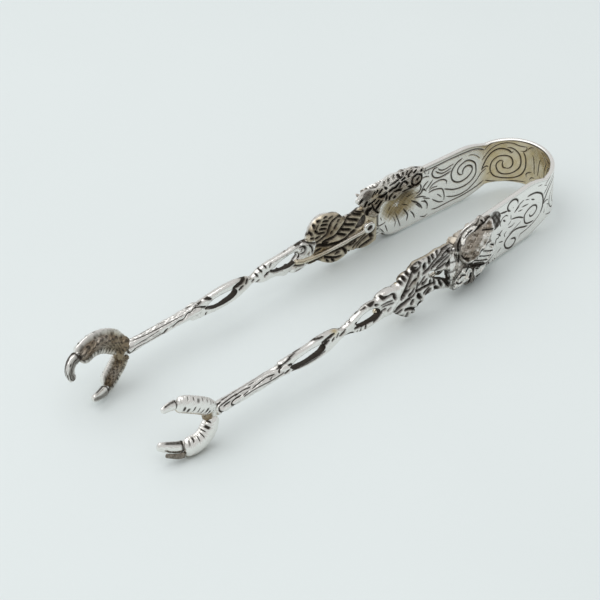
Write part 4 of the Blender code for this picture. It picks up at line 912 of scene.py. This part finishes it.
def rose(hand):
    """The cast rose, lying open towards the bow: veined petals in layers, with painted shade in the gaps between
    them and painted highlights on their lips and folds.
    """
    petals = [(Outline(points, 5), rise, brown, lean) for points, rise, brown, lean in ROSE_PETALS]

    def form(a, b, rim, hole, front):
        foot = 0.85 + 0.85 * (1.0 - smooth(-2.4, 1.6, b))
        dome = round_rim(rim, 4.6)
        room = (FRILL_TOP - b) / (2.0 * SIGHT_UP)
        n = foot + 2.3 * dome * (0.75 + 0.25 * smooth(27.5, 34.0, a))
        n = np.minimum(n, np.maximum(room - 0.80, foot))
        fold = ripple(1.6 * a, 1.9 * b, seed=12.0)
        collar = smooth(37.4, 38.6, a) * (1.0 - smooth(7.2, 8.6, b))
        oxide_and_shade = (0.50 + 0.35 * fold) * (1.0 - 0.8 * collar)
        brown = 0.6 * (1.0 - 0.8 * collar)
        n = n + 0.16 * fold * clamp(rim / 0.5)
        for outline, rise, tint, lean in petals:
            depth = outline.depth(a, b)
            on = smooth(-0.10, 0.12, depth)
            # Painted shade just outside each petal's edge, in the gaps between the layers
            shade = bell(np.minimum(depth, 0.0), 0.22) * (depth < 0.0)
            run = b - lean * a
            vein = np.cos(4.1 * run + 1.4 * np.sin(0.9 * a + 0.6 * run))
            vein = vein * (0.6 + 0.4 * ripple(0.8 * a, 0.9 * b, seed=3.0))
            # A raised lip along each petal's edge, and a painted highlight where it takes the brown away,
            # strongest on the left and lower edges
            lip_and_highlight = bell(depth - 0.28, 0.26) * smooth(0.0, 0.1, depth)
            lip_and_highlight = lip_and_highlight * (0.2 + 0.8 * np.maximum(1.0 - smooth(30.5, 33.0, a), 1.0 - smooth(4.2, 5.6, b)))
            ruffled = 1.0 + 0.5 * np.sin(3.1 * a + 2.6 * b)
            body = rise + 0.24 * lip_and_highlight * ruffled + 0.15 * vein * smooth(0.2, 0.6, depth)
            body = body + 0.26 * ripple(0.7 * a, 0.8 * b, seed=8.0) * smooth(0.3, 1.0, depth)
            n = n + body * on * np.clip(room / 2.0, 0.3, 1.0)
            oxide_and_shade = np.maximum(oxide_and_shade * (1.0 - on), 0.85 * shade)
            mottle = smooth(0.1, 0.9, ripple(1.1 * run + 0.3 * a, 3.1 * run, seed=6.0))
            oxide_and_shade = oxide_and_shade + on * (0.10 + 0.30 * tint) * smooth(0.2, 0.9, -vein) * smooth(0.3, 0.8, depth)
            oxide_and_shade = oxide_and_shade + on * 0.42 * tint * mottle
            brown = brown * (1.0 - on) + on * tint * (1.0 - 0.8 * lip_and_highlight)
        if hand == "far":
            crumple = smooth(8.5, 10.5, b)
            n = n + 0.22 * crumple * ripple(3.0 * a, 3.3 * b, seed=7.0) * clamp(rim / 0.4)
            oxide_and_shade = np.maximum(oxide_and_shade, 0.8 * crumple * smooth(0.0, 0.6, ripple(3.0 * a, 3.3 * b, seed=3.0)))
        cut, _ = cuts_at(ROSE_FIELD, a, b)
        edge = round_rim(rim, 0.5)
        n = n - 0.30 * cut * edge + 0.05 * ripple(3.2 * a, 3.8 * b, seed=5.0) * edge
        n = np.minimum(n, np.maximum(room, foot))
        n = foot + (n - foot) * clamp(rim / 0.15)
        # Painted highlights on the folds of the big petal; the left edge is kept pale as a painted highlight too
        painted_highlights = soft_spots(a, b, (1.0, (33.8, 4.8), 0.55), (1.0, (35.6, 4.0), 0.5), (1.0, (32.4, 5.9), 0.6),
                            (1.0, (31.3, 7.1), 0.65), (1.0, (30.0, 6.6), 0.7), (1.0, (31.8, 4.6), 0.6))
        oxide_and_shade = clamp(np.maximum(oxide_and_shade, cut) - 0.4 * painted_highlights)
        brown = clamp(brown - 0.9 * painted_highlights - 0.5 * (1.0 - smooth(28.2, 29.6, a)))
        out = np.where(front, n, foot)
        h = np.minimum(b + SIGHT_UP * out - TABLE_LINE, HIGHEST)
        return np.stack([a + SIGHT_ALONG * out, np.where(front, n, ROSE_BACK), h], 1), plain(oxide_and_shade, brown)

    return casting("rose_bloom", hand, Outline(ROSE_OUTLINE, 5), [], form)


FRILL_OUTLINE = {
    "near": [(28.3, 8.6), (29.2, 9.2), (30.6, 9.5), (32.4, 9.6), (34.2, 9.5), (36.0, 9.4), (37.6, 9.2),
             (38.6, 8.6), (39.0, 7.6), (38.8, 6.5), (38.0, 5.7), (36.9, 6.0), (36.1, 6.5), (34.7, 6.3),
             (33.4, 6.7), (32, 7.0), (30.6, 6.8), (29.6, 6.7), (28.7, 7.0), (28.1, 7.8)],
    "far": [(27.6, 11.2), (27.9, 12.1), (29.6, 12.8), (30.9, 13.4), (32.7, 13.5), (34.4, 13.7), (35.9, 14.0),
            (37.6, 14.0), (38.7, 13.1), (39.6, 12.2), (40.7, 12.4), (42, 12.9), (43.4, 13), (44.4, 12.2),
            (44.9, 10.9), (44.0, 9.8), (43.3, 9.0), (43.1, 8.0), (42.4, 6.8), (41.2, 6.0), (40.2, 5.4),
            (39.0, 5.9), (38.7, 7.2), (37.5, 7.9), (36.1, 7.5), (34.7, 7.3), (33.4, 7.9), (32, 8.2),
            (30.6, 8.0), (29.6, 7.7), (28.5, 8.0), (27.9, 9.2), (27.8, 10.3)],
}
FRILL_CUTS = [
    (0.14, [(29.4, 10.9), (28.4, 10.4), (28.1, 9.6), (28.4, 8.8), (29.4, 8.4), (30.4, 8.8), (30.7, 9.7),
            (30.3, 10.6), (29.4, 10.9)]),
    (0.18, [(29.0, 9.8), (29.3, 9.5)]),
    (0.14, [(31.8, 9.5), (32.2, 10.3), (32.9, 10.6), (33.5, 10.2), (33.8, 9.5)]),
    (0.22, [(28.1, 11.5), (28.4, 11.2)]), (0.12, [(28.9, 12.3), (30, 12.9), (31, 13.1)]),
    (0.13, [(30.8, 12.4), (31.6, 11.8), (31.6, 11.2)]), (0.13, [(29.6, 12.0), (30.4, 11.6)]),
    (0.20, [(33.2, 12.9), (33.2, 12.2), (33.8, 12.0), (34.3, 12.6), (34.6, 13.2)]),
    (0.14, [(32.0, 12.8), (32.2, 12.0)]),
    (0.13, [(35.6, 13.4), (35.6, 12.5)]), (0.20, [(36.9, 13.0), (36.9, 12.3)]),
    (0.14, [(38.0, 12.9), (38.2, 12.2)]),
    (0.22, [(34.0, 10.8), (34.8, 10.3), (35.6, 10.2), (36.6, 10.0)]),
    (0.13, [(34.2, 11.7), (35.2, 11.5), (36.3, 11.3)]),
    (0.13, [(37.8, 11.5), (37.3, 10.9)]), (0.16, [(32.6, 11.4), (33.4, 11.2)]),
    (0.15, [(38.4, 11.2), (39.3, 10.7)]),
    (0.30, [(37.3, 9.8), (38.3, 9.6), (39.2, 9.9)]), (0.14, [(37.2, 9.2), (37.3, 8.3)]),
    (0.24, [(35.0, 8.0), (35.3, 7.9)]),
    (0.14, [(35.7, 8.9), (36.4, 8.6), (36.5, 8.0)]), (0.20, [(33.6, 9.0), (34.4, 9.3), (35.2, 9.3)]),
    (0.20, [(38.7, 8.4), (39.5, 7.7), (40.2, 7.0)]), (0.16, [(41.0, 8.8), (40.6, 7.7), (39.9, 6.7), (39.3, 6.1)]),
    (0.42, [(41.3, 8.0), (42.3, 7.8), (42.2, 7.0)]), (0.15, [(40.2, 9.6), (41.2, 9.2), (42.0, 9.2)]),
    (0.18, [(39.4, 8.9), (40.2, 8.6)]), (0.28, [(42.4, 10.0), (42.9, 9.3)]), (0.14, [(40.3, 11.5), (41.0, 10.6)]),
    (0.20, [(43.5, 11.0), (44.1, 10.6)]), (0.14, [(39.6, 11.6), (40.1, 10.9)]), (0.2, [(31.0, 8.6), (31.6, 9.0)]),
    (0.16, [(30.4, 8.4), (31.4, 8.3), (33.0, 8.3)]),
]
FRILL_FIELD = cuts_field(FRILL_CUTS)
# How far out the middle of the frill lies at each height, up to the rose's end and past it
FRILL_LEAN = [5.4, 8.0, 9.0, 11.0, 11.8, 13.0, 14.2], [-1.15, -1.15, -1.1, -0.85, -0.62, 0.15, 0.85]
FRILL_END_LEAN = [5.4, 9.0, 11.5, 13.2], [-1.3, -1.3, -0.9, 0.1]


def frill(hand):
    """The ruffled rim of the rose, which curls in over the strap's top edge: beads, rings and a dark knob."""
    def form(a, b, rim, hole, front):
        middle = np.where(a > 39.8, np.interp(b, *FRILL_END_LEAN), np.interp(b, *FRILL_LEAN))
        round_edge = round_rim(rim, 0.45)
        cut, clear = cuts_at(FRILL_FIELD, a, b)
        bead = 0.42 * np.sqrt(clamp(clear / 0.55))
        knob = soft_spot(a, b, (42.1, 11.5), 1.35)
        beads = 0.20 * ripple(3.1 * a, 3.6 * b, seed=9.0)
        n = middle - (0.10 + bead + beads + 0.9 * knob - 0.35 * cut) * round_edge
        back = middle + 0.9 - 0.62 * smooth(9.5, 12.5, b)
        s = a - SIGHT_ALONG * np.where(front, middle, n)
        z = b - SIGHT_UP * np.where(front, middle, n)
        gap = 1.0 - smooth(0.0, 0.30, clear)
        speck = smooth(0.35, 0.85, ripple(3.1 * a, 4.2 * b, seed=9.0))
        low = 1.0 - smooth(8.2, 11.6, b)
        oxide_and_shade = np.maximum(cut, 0.55 * gap * speck) + 0.25 * speck * low + 0.62 * smooth(0.15, 0.6, knob)
        brown = 0.15 + 0.6 * low + 0.55 * knob + 0.3 * soft_spot(a, b, (31.5, 12.2), 1.6)
        brown = brown - 0.8 * soft_spot(a, b, (36.8, 13.2), 1.5)
        gold = 0.25 * low + 0.5 * soft_spot(a, b, (40.0, 10.3), 1.5)
        spots = np.stack([s, np.where(front, back, n), np.minimum(z - TABLE_LINE, HIGHEST)], 1)
        return spots, plain(clamp(oxide_and_shade), clamp(brown), clamp(gold))

    return casting("rose_frill", hand, Outline(FRILL_OUTLINE[hand], 5), [], form)


# Stalk, calyx, stem

def stalk(hand):
    """The rod along the inner side of the spray, with its eyelet by the strap."""
    eye = np.array([42.75, -1.15, -0.9])
    path = curve_through([(43.9, -1.12, -1.25), (47, -1.15, -1.35), (51, -1.2, -1.5), (55.5, -1.2, -1.45),
                          (59.6, -1.05, -1.05), (61.6, -0.7, -0.6)], 12)

    def shape(t, angle):
        return 0.03 * ripple(30 * t, np.cos(angle))

    def marks(t, angle):
        return plain(oxide_and_shade=0.30 * smooth(0.4, 0.9, ripple(14 * t, 2 * np.cos(angle), seed=2.0)),
                     brown=0.1 + 0.3 * smooth(0.45, 0.6, t) * (1 - smooth(0.7, 0.8, t)),
                     gold=0.25 + 0.35 * smooth(0.4, 0.7, t))

    def ring(u, v):
        a = 2.0 * math.pi * u
        b = 2.0 * math.pi * v
        r = 0.98 + 0.46 * np.cos(b)
        spots = np.stack([eye[0] + r * np.cos(a), eye[1] + 0.42 * np.sin(b), eye[2] + 0.86 * r * np.sin(a)], 1)
        return spots, plain(oxide_and_shade=0.9 * smooth(0.45, 0.9, -np.cos(b)))

    rod = tube(f"{hand}_stalk_rod", hand, path, lambda t: 0.42 + 0.12 * smooth(0.5, 1.0, t), 120, 24,
               shape, 1.0, marks)
    return rod, skin(f"{hand}_stalk_eyelet", SIDES[hand], 48, 24, ring)


def calyx(hand):
    """The bumpy collar that ties the leg and the rose to the spray."""
    path = curve_through([(40.3, 0.4, 4.0), (41.0, 0.9, 2.2), (41.2, 1.1, -0.6), (41.0, 1.0, -3.0),
                          (40.6, 0.6, -4.6)], 14)

    def bumps(t, angle):
        return np.cos(9.0 * math.pi * t + 1.2 * np.sin(angle))

    def shape(t, angle):
        return 0.05 * bumps(t, angle) + 0.16 * ripple(5.0 * t, 2.0 * np.cos(angle), seed=3.0)

    def marks(t, angle):
        gap = smooth(0.65, 1.0, -bumps(t, angle))
        speck = smooth(0.4, 0.9, ripple(19.0 * t, 3.0 * np.cos(angle), seed=5.0))
        inner = smooth(0.2, 0.9, -np.sin(angle))
        return plain(oxide_and_shade=0.65 * gap + 0.3 * speck + 0.3 * inner, brown=0.12 + 0.5 * inner)

    return tube(f"{hand}_calyx_collar", hand, path, lambda t: 1.15 * (0.65 + 0.35 * np.sin(math.pi * t)),
                140, 48, shape, 0.75, marks)


def stem(hand):
    """The bark-like stem between the vine and the claw, with long grooves and knots."""
    path = curve_through([(85.2, -0.05, 0.15), (88, -0.05, 0.15), (92, 0, 0.1), (97, 0, 0.05),
                          (103.6, 0, 0.05)], 20)

    def size(t):
        return 1.16 + 0.30 * (1.0 - smooth(0.0, 0.20, t)) + 0.10 * smooth(0.75, 1.0, t)

    def wave(t, angle):
        return np.cos(6.0 * angle + 3.0 * np.sin(4.0 * t) + 5.0 * t)

    def bark(t, angle):
        return ripple(18.0 * t, 3.0 * np.cos(angle), 3.0 * np.sin(angle))

    def shape(t, angle):
        return 0.07 * wave(t, angle) + 0.05 * bark(t, angle)

    def marks(t, angle):
        broken = smooth(-0.3, 0.5, bark(t, angle))
        return plain(oxide_and_shade=0.45 * smooth(0.35, 1.0, -wave(t, angle)) * broken, brown=0.08)

    return tube(f"{hand}_stem", hand, path, size, 240, 84, shape, 1.0, marks, 0.16)


# The claw

TOE_PATHS = {
    ("near", "upper"): [(103.6, 0, 0.6), (105.2, 0.1, 1.8), (107.0, 0.2, 3.2), (108.8, 0.1, 4.3),
                        (110.5, -0.3, 5.1), (112.1, -0.8, 5.45)],
    ("far", "upper"): [(103.6, 0, 0.6), (105.2, 0, 2.2), (107.2, -0.2, 4.0), (109.6, -0.5, 5.3),
                       (112.0, -0.8, 5.75), (114.0, -1.0, 5.4), (115.6, -1.1, 4.7)],
    ("near", "lower"): [(104.0, 0.1, -0.5), (104.9, 0.2, -2.1), (106.1, 0.3, -3.6), (107.8, 0.4, -4.45),
                        (109.6, 0.3, -4.6), (111.4, 0.0, -4.4)],
    ("far", "lower"): [(103.8, 0, -0.5), (105.0, -0.1, -1.8), (106.6, -0.4, -3.1), (108.3, -0.9, -4.0),
                       (109.9, -1.3, -4.4)],
}
NAIL_PATHS = {
    ("near", "upper"): [(111.5, -0.8, 5.35), (112.9, -1.0, 5.5), (114.1, -1.15, 5.3), (114.8, -1.35, 5.0)],
    ("far", "upper"): [(114.9, -0.9, 5.6), (116.7, -0.9, 5.0), (117.8, -1.2, 3.8), (118.0, -1.6, 2.6),
                       (117.6, -2.0, 1.7)],
    ("near", "lower"): [(110.5, -0.1, -4.4), (112.3, -0.4, -4.0), (114.2, -1.1, -3.3), (115.7, -1.8, -2.8)],
    ("far", "lower"): [(109.3, -1.5, -5.1), (110.9, -1.9, -5.1), (112.5, -2.4, -4.8), (114.0, -2.8, -4.3)],
}
# Half height, then depth over height, of each toe and each nail
TOE_SIZES = {("near", "upper"): (1.75, 0.70), ("far", "upper"): (2.45, 0.86), ("near", "lower"): (2.05, 0.80),
             ("far", "lower"): (2.15, 0.80)}
NAIL_SIZES = {("near", "upper"): (1.15, 0.75), ("far", "upper"): (1.35, 0.85), ("near", "lower"): (1.42, 0.62),
              ("far", "lower"): (1.20, 1.00)}
# Scale bars of each toe: how many, and between which angles from its top, through the outer side
SCALES = {("near", "upper"): (9.5, 92, 128), ("far", "upper"): (9.0, 24, 60), ("near", "lower"): (7.5, 14, 54),
          ("far", "lower"): (8.0, 40, 110)}


def ring_bars(phase, keen):
    """Even bars, one to each whole phase, which are narrower the higher keen is."""
    return smooth(keen, 0.98, np.cos(2.0 * math.pi * phase))


def window(angle, low, high, soft):
    """One between two angles, in degrees, and nought outside them."""
    degrees = np.degrees(angle)
    return smooth(low - soft, low + soft, degrees) * (1.0 - smooth(high - soft, high + soft, degrees))


def toe(hand, which):
    """A toe, scaled across its back, with a rough hollow on the gripping side."""
    path = curve_through(TOE_PATHS[hand, which], 16)
    size, flat = TOE_SIZES[hand, which]
    count, low, high = SCALES[hand, which]
    deep = 0.50
    back_depth = 0.8 if which == "upper" else 0.0

    def bars(t, angle):
        phase = count * t + 0.16 * np.cos(angle) + 0.10 * np.sin(5.0 * count * t)
        reach = np.radians(9.0) * np.sin(2.3 * count * t + 1.0)
        strong = ring_bars(phase, 0.0) * window(angle + reach, low, high, 8.0)
        back = ring_bars(phase + 0.2, 0.1) * window(angle - reach, low - 75, low - 42, 10.0) * back_depth
        return clamp((strong + back) * smooth(0.04, 0.10, t) * (1.0 - smooth(0.88, 0.95, t)))

    def hollow(angle):
        if hand == "far":
            return smooth(-0.06, 0.28, -np.sin(angle - 0.22))
        return smooth(0.30, 0.75, -np.sin(angle - 0.15))

    def rough(t, angle):
        return ripple(15.0 * t, 4.0 * np.cos(angle), 3.0 * np.sin(angle), seed=1.3)

    def shape(t, angle):
        trough = -deep * size * hollow(angle) * smooth(0.05, 0.2, t)
        crust = 0.24 * rough(t, angle) * hollow(angle) + 0.06 * ripple(22.0 * t, 3.0 * np.cos(angle), seed=4.0)
        return trough + crust - 0.15 * bars(t, angle)

    def marks(t, angle):
        inner = hollow(angle)
        teeth = ring_bars(1.4 * count * t, 0.1) * window(angle, 196, 214, 6.0)
        edge = ring_bars(1.3 * count * t + 0.3, 0.0) * window(angle, 334, 346, 6.0)
        dark = bars(t, angle) + inner * (0.20 + 0.60 * smooth(-0.1, 0.6, rough(t, angle)))
        dark = dark + 0.7 * teeth + 0.55 * edge
        under = window(angle, 138, 190, 10.0)
        return plain(oxide_and_shade=clamp(dark), brown=clamp(0.05 + 0.95 * inner + 0.55 * under),
                     gold=clamp(0.6 * inner * (1 - smooth(0.3, 0.6, t)) + 0.45 * under))

    return tube(f"{hand}_{which}_toe_form", hand, path,
                lambda t: size * (0.76 + 0.24 * smooth(0.0, 0.3, t) - 0.08 * smooth(0.8, 1.0, t)),
                220, 120, shape, flat, marks)


def nail(hand, which):
    """A curved, blunt nail that hooks inward, dark at the cuticle and along its upper edge."""
    path = curve_through(NAIL_PATHS[hand, which], 16)
    size, flat = NAIL_SIZES[hand, which]
    streaks = 1.1 if (hand, which) == ("far", "upper") else 0.15
    dark_to = 48 if (hand, which) == ("near", "lower") else 40

    def girth(t):
        return size * (1.0 - 0.42 * t**1.3) * (0.9 + 0.1 * smooth(0.0, 0.25, t))

    def shape(t, angle):
        ridge = 0.10 * np.maximum(np.sin(angle), 0.0) ** 6 * (1.0 - t)
        gutter = 0.30 * size * smooth(0.2, 0.9, -np.sin(angle))
        neck = 0.12 * bell(t - 0.12, 0.05)
        return ridge - gutter - neck + 0.04 * ripple(7.0 * t, 4.0 * np.cos(angle), seed=2.0)

    def marks(t, angle):
        cuticle = bell(t - 0.13 - 0.06 * np.cos(angle - 0.6), 0.05)
        top = window(angle, 4, dark_to, 9.0)
        streak = smooth(0.0, 0.8, ripple(4.0 * t, 5.0 * np.cos(angle), 5.0 * np.sin(angle), seed=7.0))
        dark = 0.95 * cuticle + 0.85 * top * smooth(0.12, 0.3, t) * (1.0 - smooth(0.7, 0.9, t))
        dark = dark + streaks * streak + 0.6 * smooth(0.45, 0.9, -np.sin(angle))
        return plain(oxide_and_shade=clamp(dark), brown=0.06 + 0.3 * smooth(0.3, 0.9, -np.sin(angle)))

    return tube(f"{hand}_{which}_nail_form", hand, path, girth, 110, 56, shape, flat, marks)


def shaded_pad(hand):
    """A lump under the near claw's lower nail, coloured dark as painted shade of the nail's underside."""
    path = curve_through([(111.4, 0.9, -5.35), (112.6, 0.7, -5.2), (114.0, 0.2, -4.7), (115.0, -0.2, -4.3)], 10)
    return tube(f"{hand}_lower_shaded_pad", hand, path, lambda t: 0.62 * (1.0 - 0.35 * t), 50, 28, None, 0.8,
                lambda t, angle: plain(oxide_and_shade=0.62 + 0.2 * ripple(12.0 * t, np.cos(angle)), brown=0.6, gold=0.3))


def palm(hand):
    """The palm: a collar that flares into a web between the toes, tarnished in the fork."""
    path = curve_through([(101.6, 0, 0.05), (103.2, 0, 0.05), (104.8, 0, -0.05), (106.2, -0.1, -0.2)], 16)

    def marks(t, angle):
        fork = smooth(0.60, 0.78, t)
        inner = smooth(-0.2, 0.5, -np.sin(angle))
        dark = smooth(0.0, 0.9, ripple(9.0 * t, 4.0 * np.cos(angle), seed=2.5)) * (0.35 + 0.4 * fork)
        return plain(oxide_and_shade=clamp(dark), brown=clamp(0.1 + 0.85 * fork + 0.3 * inner), gold=clamp(0.6 * fork))

    return tube(f"{hand}_palm_web", hand, path, lambda t: 1.25 + 1.15 * smooth(0.25, 0.8, t), 90, 64,
                lambda t, angle: 0.14 * ripple(7.0 * t, 3.0 * np.cos(angle), seed=2.5), 0.46, marks, 0.14)


# Finishes

class Value:
    """An output socket. Python's operators on it add Math nodes."""

    def __init__(self, finish, socket):
        self.finish = finish
        self.socket = socket

    def math(self, operation, first, second):
        return self.finish.node("ShaderNodeMath", {"operation": operation}, {0: first, 1: second})

    def __add__(self, other):
        return self.math("ADD", self, other)

    def __radd__(self, other):
        return self.math("ADD", other, self)

    def __sub__(self, other):
        return self.math("SUBTRACT", self, other)

    def __rsub__(self, other):
        return self.math("SUBTRACT", other, self)

    def __mul__(self, other):
        return self.math("MULTIPLY", self, other)

    def __rmul__(self, other):
        return self.math("MULTIPLY", other, self)

    def __pow__(self, other):
        return self.math("POWER", self, other)

    def clamp(self):
        return self.finish.node("ShaderNodeClamp", {}, {"Value": self})


class Finish:
    """A material built from nodes."""

    def __init__(self, name):
        self.material = bpy.data.materials.new(name)
        self.material.use_nodes = True
        self.tree = self.material.node_tree
        self.tree.nodes.clear()

    def node(self, kind, settings, sockets, output=0):
        made = self.tree.nodes.new(kind)
        for key, value in settings.items():
            setattr(made, key, value)
        for key, value in sockets.items():
            if isinstance(value, Value):
                self.tree.links.new(value.socket, made.inputs[key])
            else:
                made.inputs[key].default_value = value
        return None if output is None else Value(self, made.outputs[output])

    def mark(self, name):
        return self.node("ShaderNodeAttribute", {"attribute_type": "GEOMETRY", "attribute_name": name}, {}, "Fac")

    def noise(self, scale, detail, stretch=None):
        place = self.node("ShaderNodeTexCoord", {}, {}, "Object")
        if stretch:
            place = self.node("ShaderNodeMapping", {}, {"Vector": place, "Scale": stretch})
        return self.node("ShaderNodeTexNoise", {}, {"Vector": place, "Scale": scale, "Detail": detail}, "Fac")

    def blend(self, share, first, second):
        """Colours mixed by a share."""
        return self.node("ShaderNodeMix", {"data_type": "RGBA"}, {0: share, 6: first, 7: second}, 2)

    def finish(self, sockets):
        shader = self.node("ShaderNodeBsdfPrincipled", {}, sockets)
        self.node("ShaderNodeOutputMaterial", {}, {"Surface": shader}, None)
        return self.material


SILVER = (0.90, 0.89, 0.855, 1.0)
# The dark of oxide in the recesses, also used for painted shade where the marks carry it
OXIDE_AND_SHADE = (0.040, 0.032, 0.024, 1.0)
BROWN = (0.20, 0.142, 0.080, 1.0)
GOLD = (0.60, 0.465, 0.215, 1.0)


def silver_finish(name, polish, grain, tarnish, scratch=0.0):
    """Silver over its marks: oxidised recesses and painted shade, brown tarnish and a warm tint."""
    f = Finish(name)
    oxide_and_shade = f.mark("oxide_and_shade")
    brown = f.mark("brown")
    gold = f.mark("gold")
    cloud = f.noise(420.0, 4.0)
    speck = f.noise(2600.0, 2.0)
    colour = f.blend((gold * 0.85).clamp(), SILVER, GOLD)
    colour = f.blend((brown * (0.35 + cloud * 0.9)).clamp(), colour, BROWN)
    # How dark each place is: oxide in the recesses, with the painted shade that the marks carry
    oxide_and_shade_share = (oxide_and_shade * 1.05 + (speck - 0.5) * 0.35 * oxide_and_shade + (cloud - 0.55) * tarnish).clamp()
    colour = f.blend(oxide_and_shade_share, colour, OXIDE_AND_SHADE)
    rough = (polish + oxide_and_shade_share * 0.38 + brown * 0.14 + (cloud - 0.5) * 0.10).clamp()
    height = speck * grain
    if scratch:
        height = height + f.noise(900.0, 2.0, (1.0, 1.0, 9.0)) * scratch
    bump = f.node("ShaderNodeBump", {}, {"Strength": 0.35, "Distance": 0.00006, "Height": height})
    metal = 1.0 - oxide_and_shade_share * 0.35
    return f.finish({"Base Color": colour, "Metallic": metal, "Roughness": rough, "Normal": bump})


STRAP_FINISH = silver_finish("engraved_silver", 0.26, 0.25, 0.10, 0.5)
ROSE_FINISH = silver_finish("tarnished_rose_silver", 0.30, 0.9, 0.35)
LEAF_FINISH = silver_finish("oxidised_leaf_silver", 0.24, 0.8, 0.25)
VINE_FINISH = silver_finish("vine_silver", 0.20, 0.8, 0.22)
CLAW_FINISH = silver_finish("claw_silver", 0.24, 1.0, 0.30)
NAIL_FINISH = silver_finish("nail_silver", 0.18, 0.4, 0.12)


def dress(piece, hand, finish, slot, *nodes):
    """Gives a piece its finish, its place on the arm and the solids that it stands for."""
    piece.data.materials.append(finish)
    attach(piece, f"{hand}_arm")
    if nodes:
        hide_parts(*(f"{hand}_{node}" for node in nodes))


def arm(hand):
    """Every piece of one arm, with its half of the strap, which bends from the bow to the arm."""
    half = strap_half(hand)
    half.data.materials.append(STRAP_FINISH)
    start, end = bent(SIDES[hand], np.array([FLEX_FROM, FLEX_TO]), np.zeros(2), np.zeros(2))
    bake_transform(half)
    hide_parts(f"{hand}_strap_leg", *(["bow_crown"] if hand == "far" else []))
    dress(rose(hand), hand, ROSE_FINISH, "oxidised_rose", "rose")
    dress(frill(hand), hand, ROSE_FINISH, "oxidised_rose")
    dress(spray(hand), hand, LEAF_FINISH, "leaf_silver", "broad_leaf", "crest_leaf", "rose_leaf", "lower_leaf")
    dress(husk(hand), hand, VINE_FINISH, "cast_silver", "husk")
    dress(calyx(hand), hand, LEAF_FINISH, "cast_silver", "calyx")
    rod, eyelet = stalk(hand)
    dress(rod, hand, VINE_FINISH, "cast_silver", "stalk")
    dress(eyelet, hand, VINE_FINISH, "cast_silver")
    dress(vine(hand), hand, VINE_FINISH, "vine_silver", "vine_strand_a", "vine_strand_b")
    dress(stem(hand), hand, VINE_FINISH, "vine_silver", "ridged_stem")
    dress(palm(hand), hand, CLAW_FINISH, "claw_silver", "claw_palm")
    for which in ("upper", "lower"):
        dress(toe(hand, which), hand, CLAW_FINISH, "claw_silver", f"{which}_toe")
        dress(nail(hand, which), hand, NAIL_FINISH, "nail_silver", f"{which}_nail")


for hand in SIDES:
    arm(hand)
# The near lower nail's underside, dark with painted shade
dress(shaded_pad("near"), "near", CLAW_FINISH, "claw_silver")


# Table, light and camera

def table_top():
    bm = bmesh.new()
    bmesh.ops.create_grid(bm, x_segments=1, y_segments=1, size=2.0)
    mesh = bpy.data.meshes.new("table_top")
    bm.to_mesh(mesh)
    bm.free()
    made = placed("table_top", mesh)
    f = Finish("pale_table")
    cloud = f.noise(14.0, 2.0)
    colour = f.blend(cloud, (0.70, 0.755, 0.755, 1.0), (0.735, 0.79, 0.79, 1.0))
    made.data.materials.append(f.finish({"Base Color": colour, "Roughness": 0.55}))


def world():
    sky = bpy.data.worlds.new("tent")
    sky.use_nodes = True
    bpy.context.scene.world = sky
    shade = sky.node_tree.nodes["Background"]
    shade.inputs["Color"].default_value = (1.0, 1.0, 1.0, 1.0)
    shade.inputs["Strength"].default_value = 0.65


def lamp(name, place, size, power):
    """A soft box that faces the tongs."""
    light = bpy.data.lights.new(name, "AREA")
    light.shape = "RECTANGLE"
    light.size, light.size_y = size
    light.energy = power
    made = placed(name, light)
    made.location = place
    made.rotation_euler = (-Vector(place)).to_track_quat("-Z", "Y").to_euler()


def camera():
    """The photograph's camera, as fitted to the strap's edges and the two arms."""
    azimuth = 0.759364571
    tilt = 0.650321135
    distance = 570.026
    slide = (-7.61719, -2.97736)
    forward = Vector((math.sin(azimuth) * math.cos(tilt), math.cos(azimuth) * math.cos(tilt), -math.sin(tilt)))
    right = Vector((math.cos(azimuth), -math.sin(azimuth), 0.0))
    up = right.cross(forward)
    aim = Vector((MIDDLE_X - 55.0, 0.0, PHOTO_FLOOR + 5.0))
    spot = aim + right * slide[0] + up * slide[1] - forward * distance
    view = bpy.data.cameras.new("camera")
    view.sensor_width = 36.0
    view.lens = 180.0
    made = placed("camera", view)
    made.matrix_world = Matrix((
        (right.x, up.x, -forward.x, spot.x * MM),
        (right.y, up.y, -forward.y, spot.y * MM),
        (right.z, up.z, -forward.z, spot.z * MM),
        (0.0, 0.0, 0.0, 1.0)))
    bpy.context.scene.camera = made


table_top()
world()
lamp("soft_box", (-0.20, 0.15, 0.80), (1.2, 1.2), 4.9)
camera()
bpy.context.scene.view_settings.view_transform = "Standard"
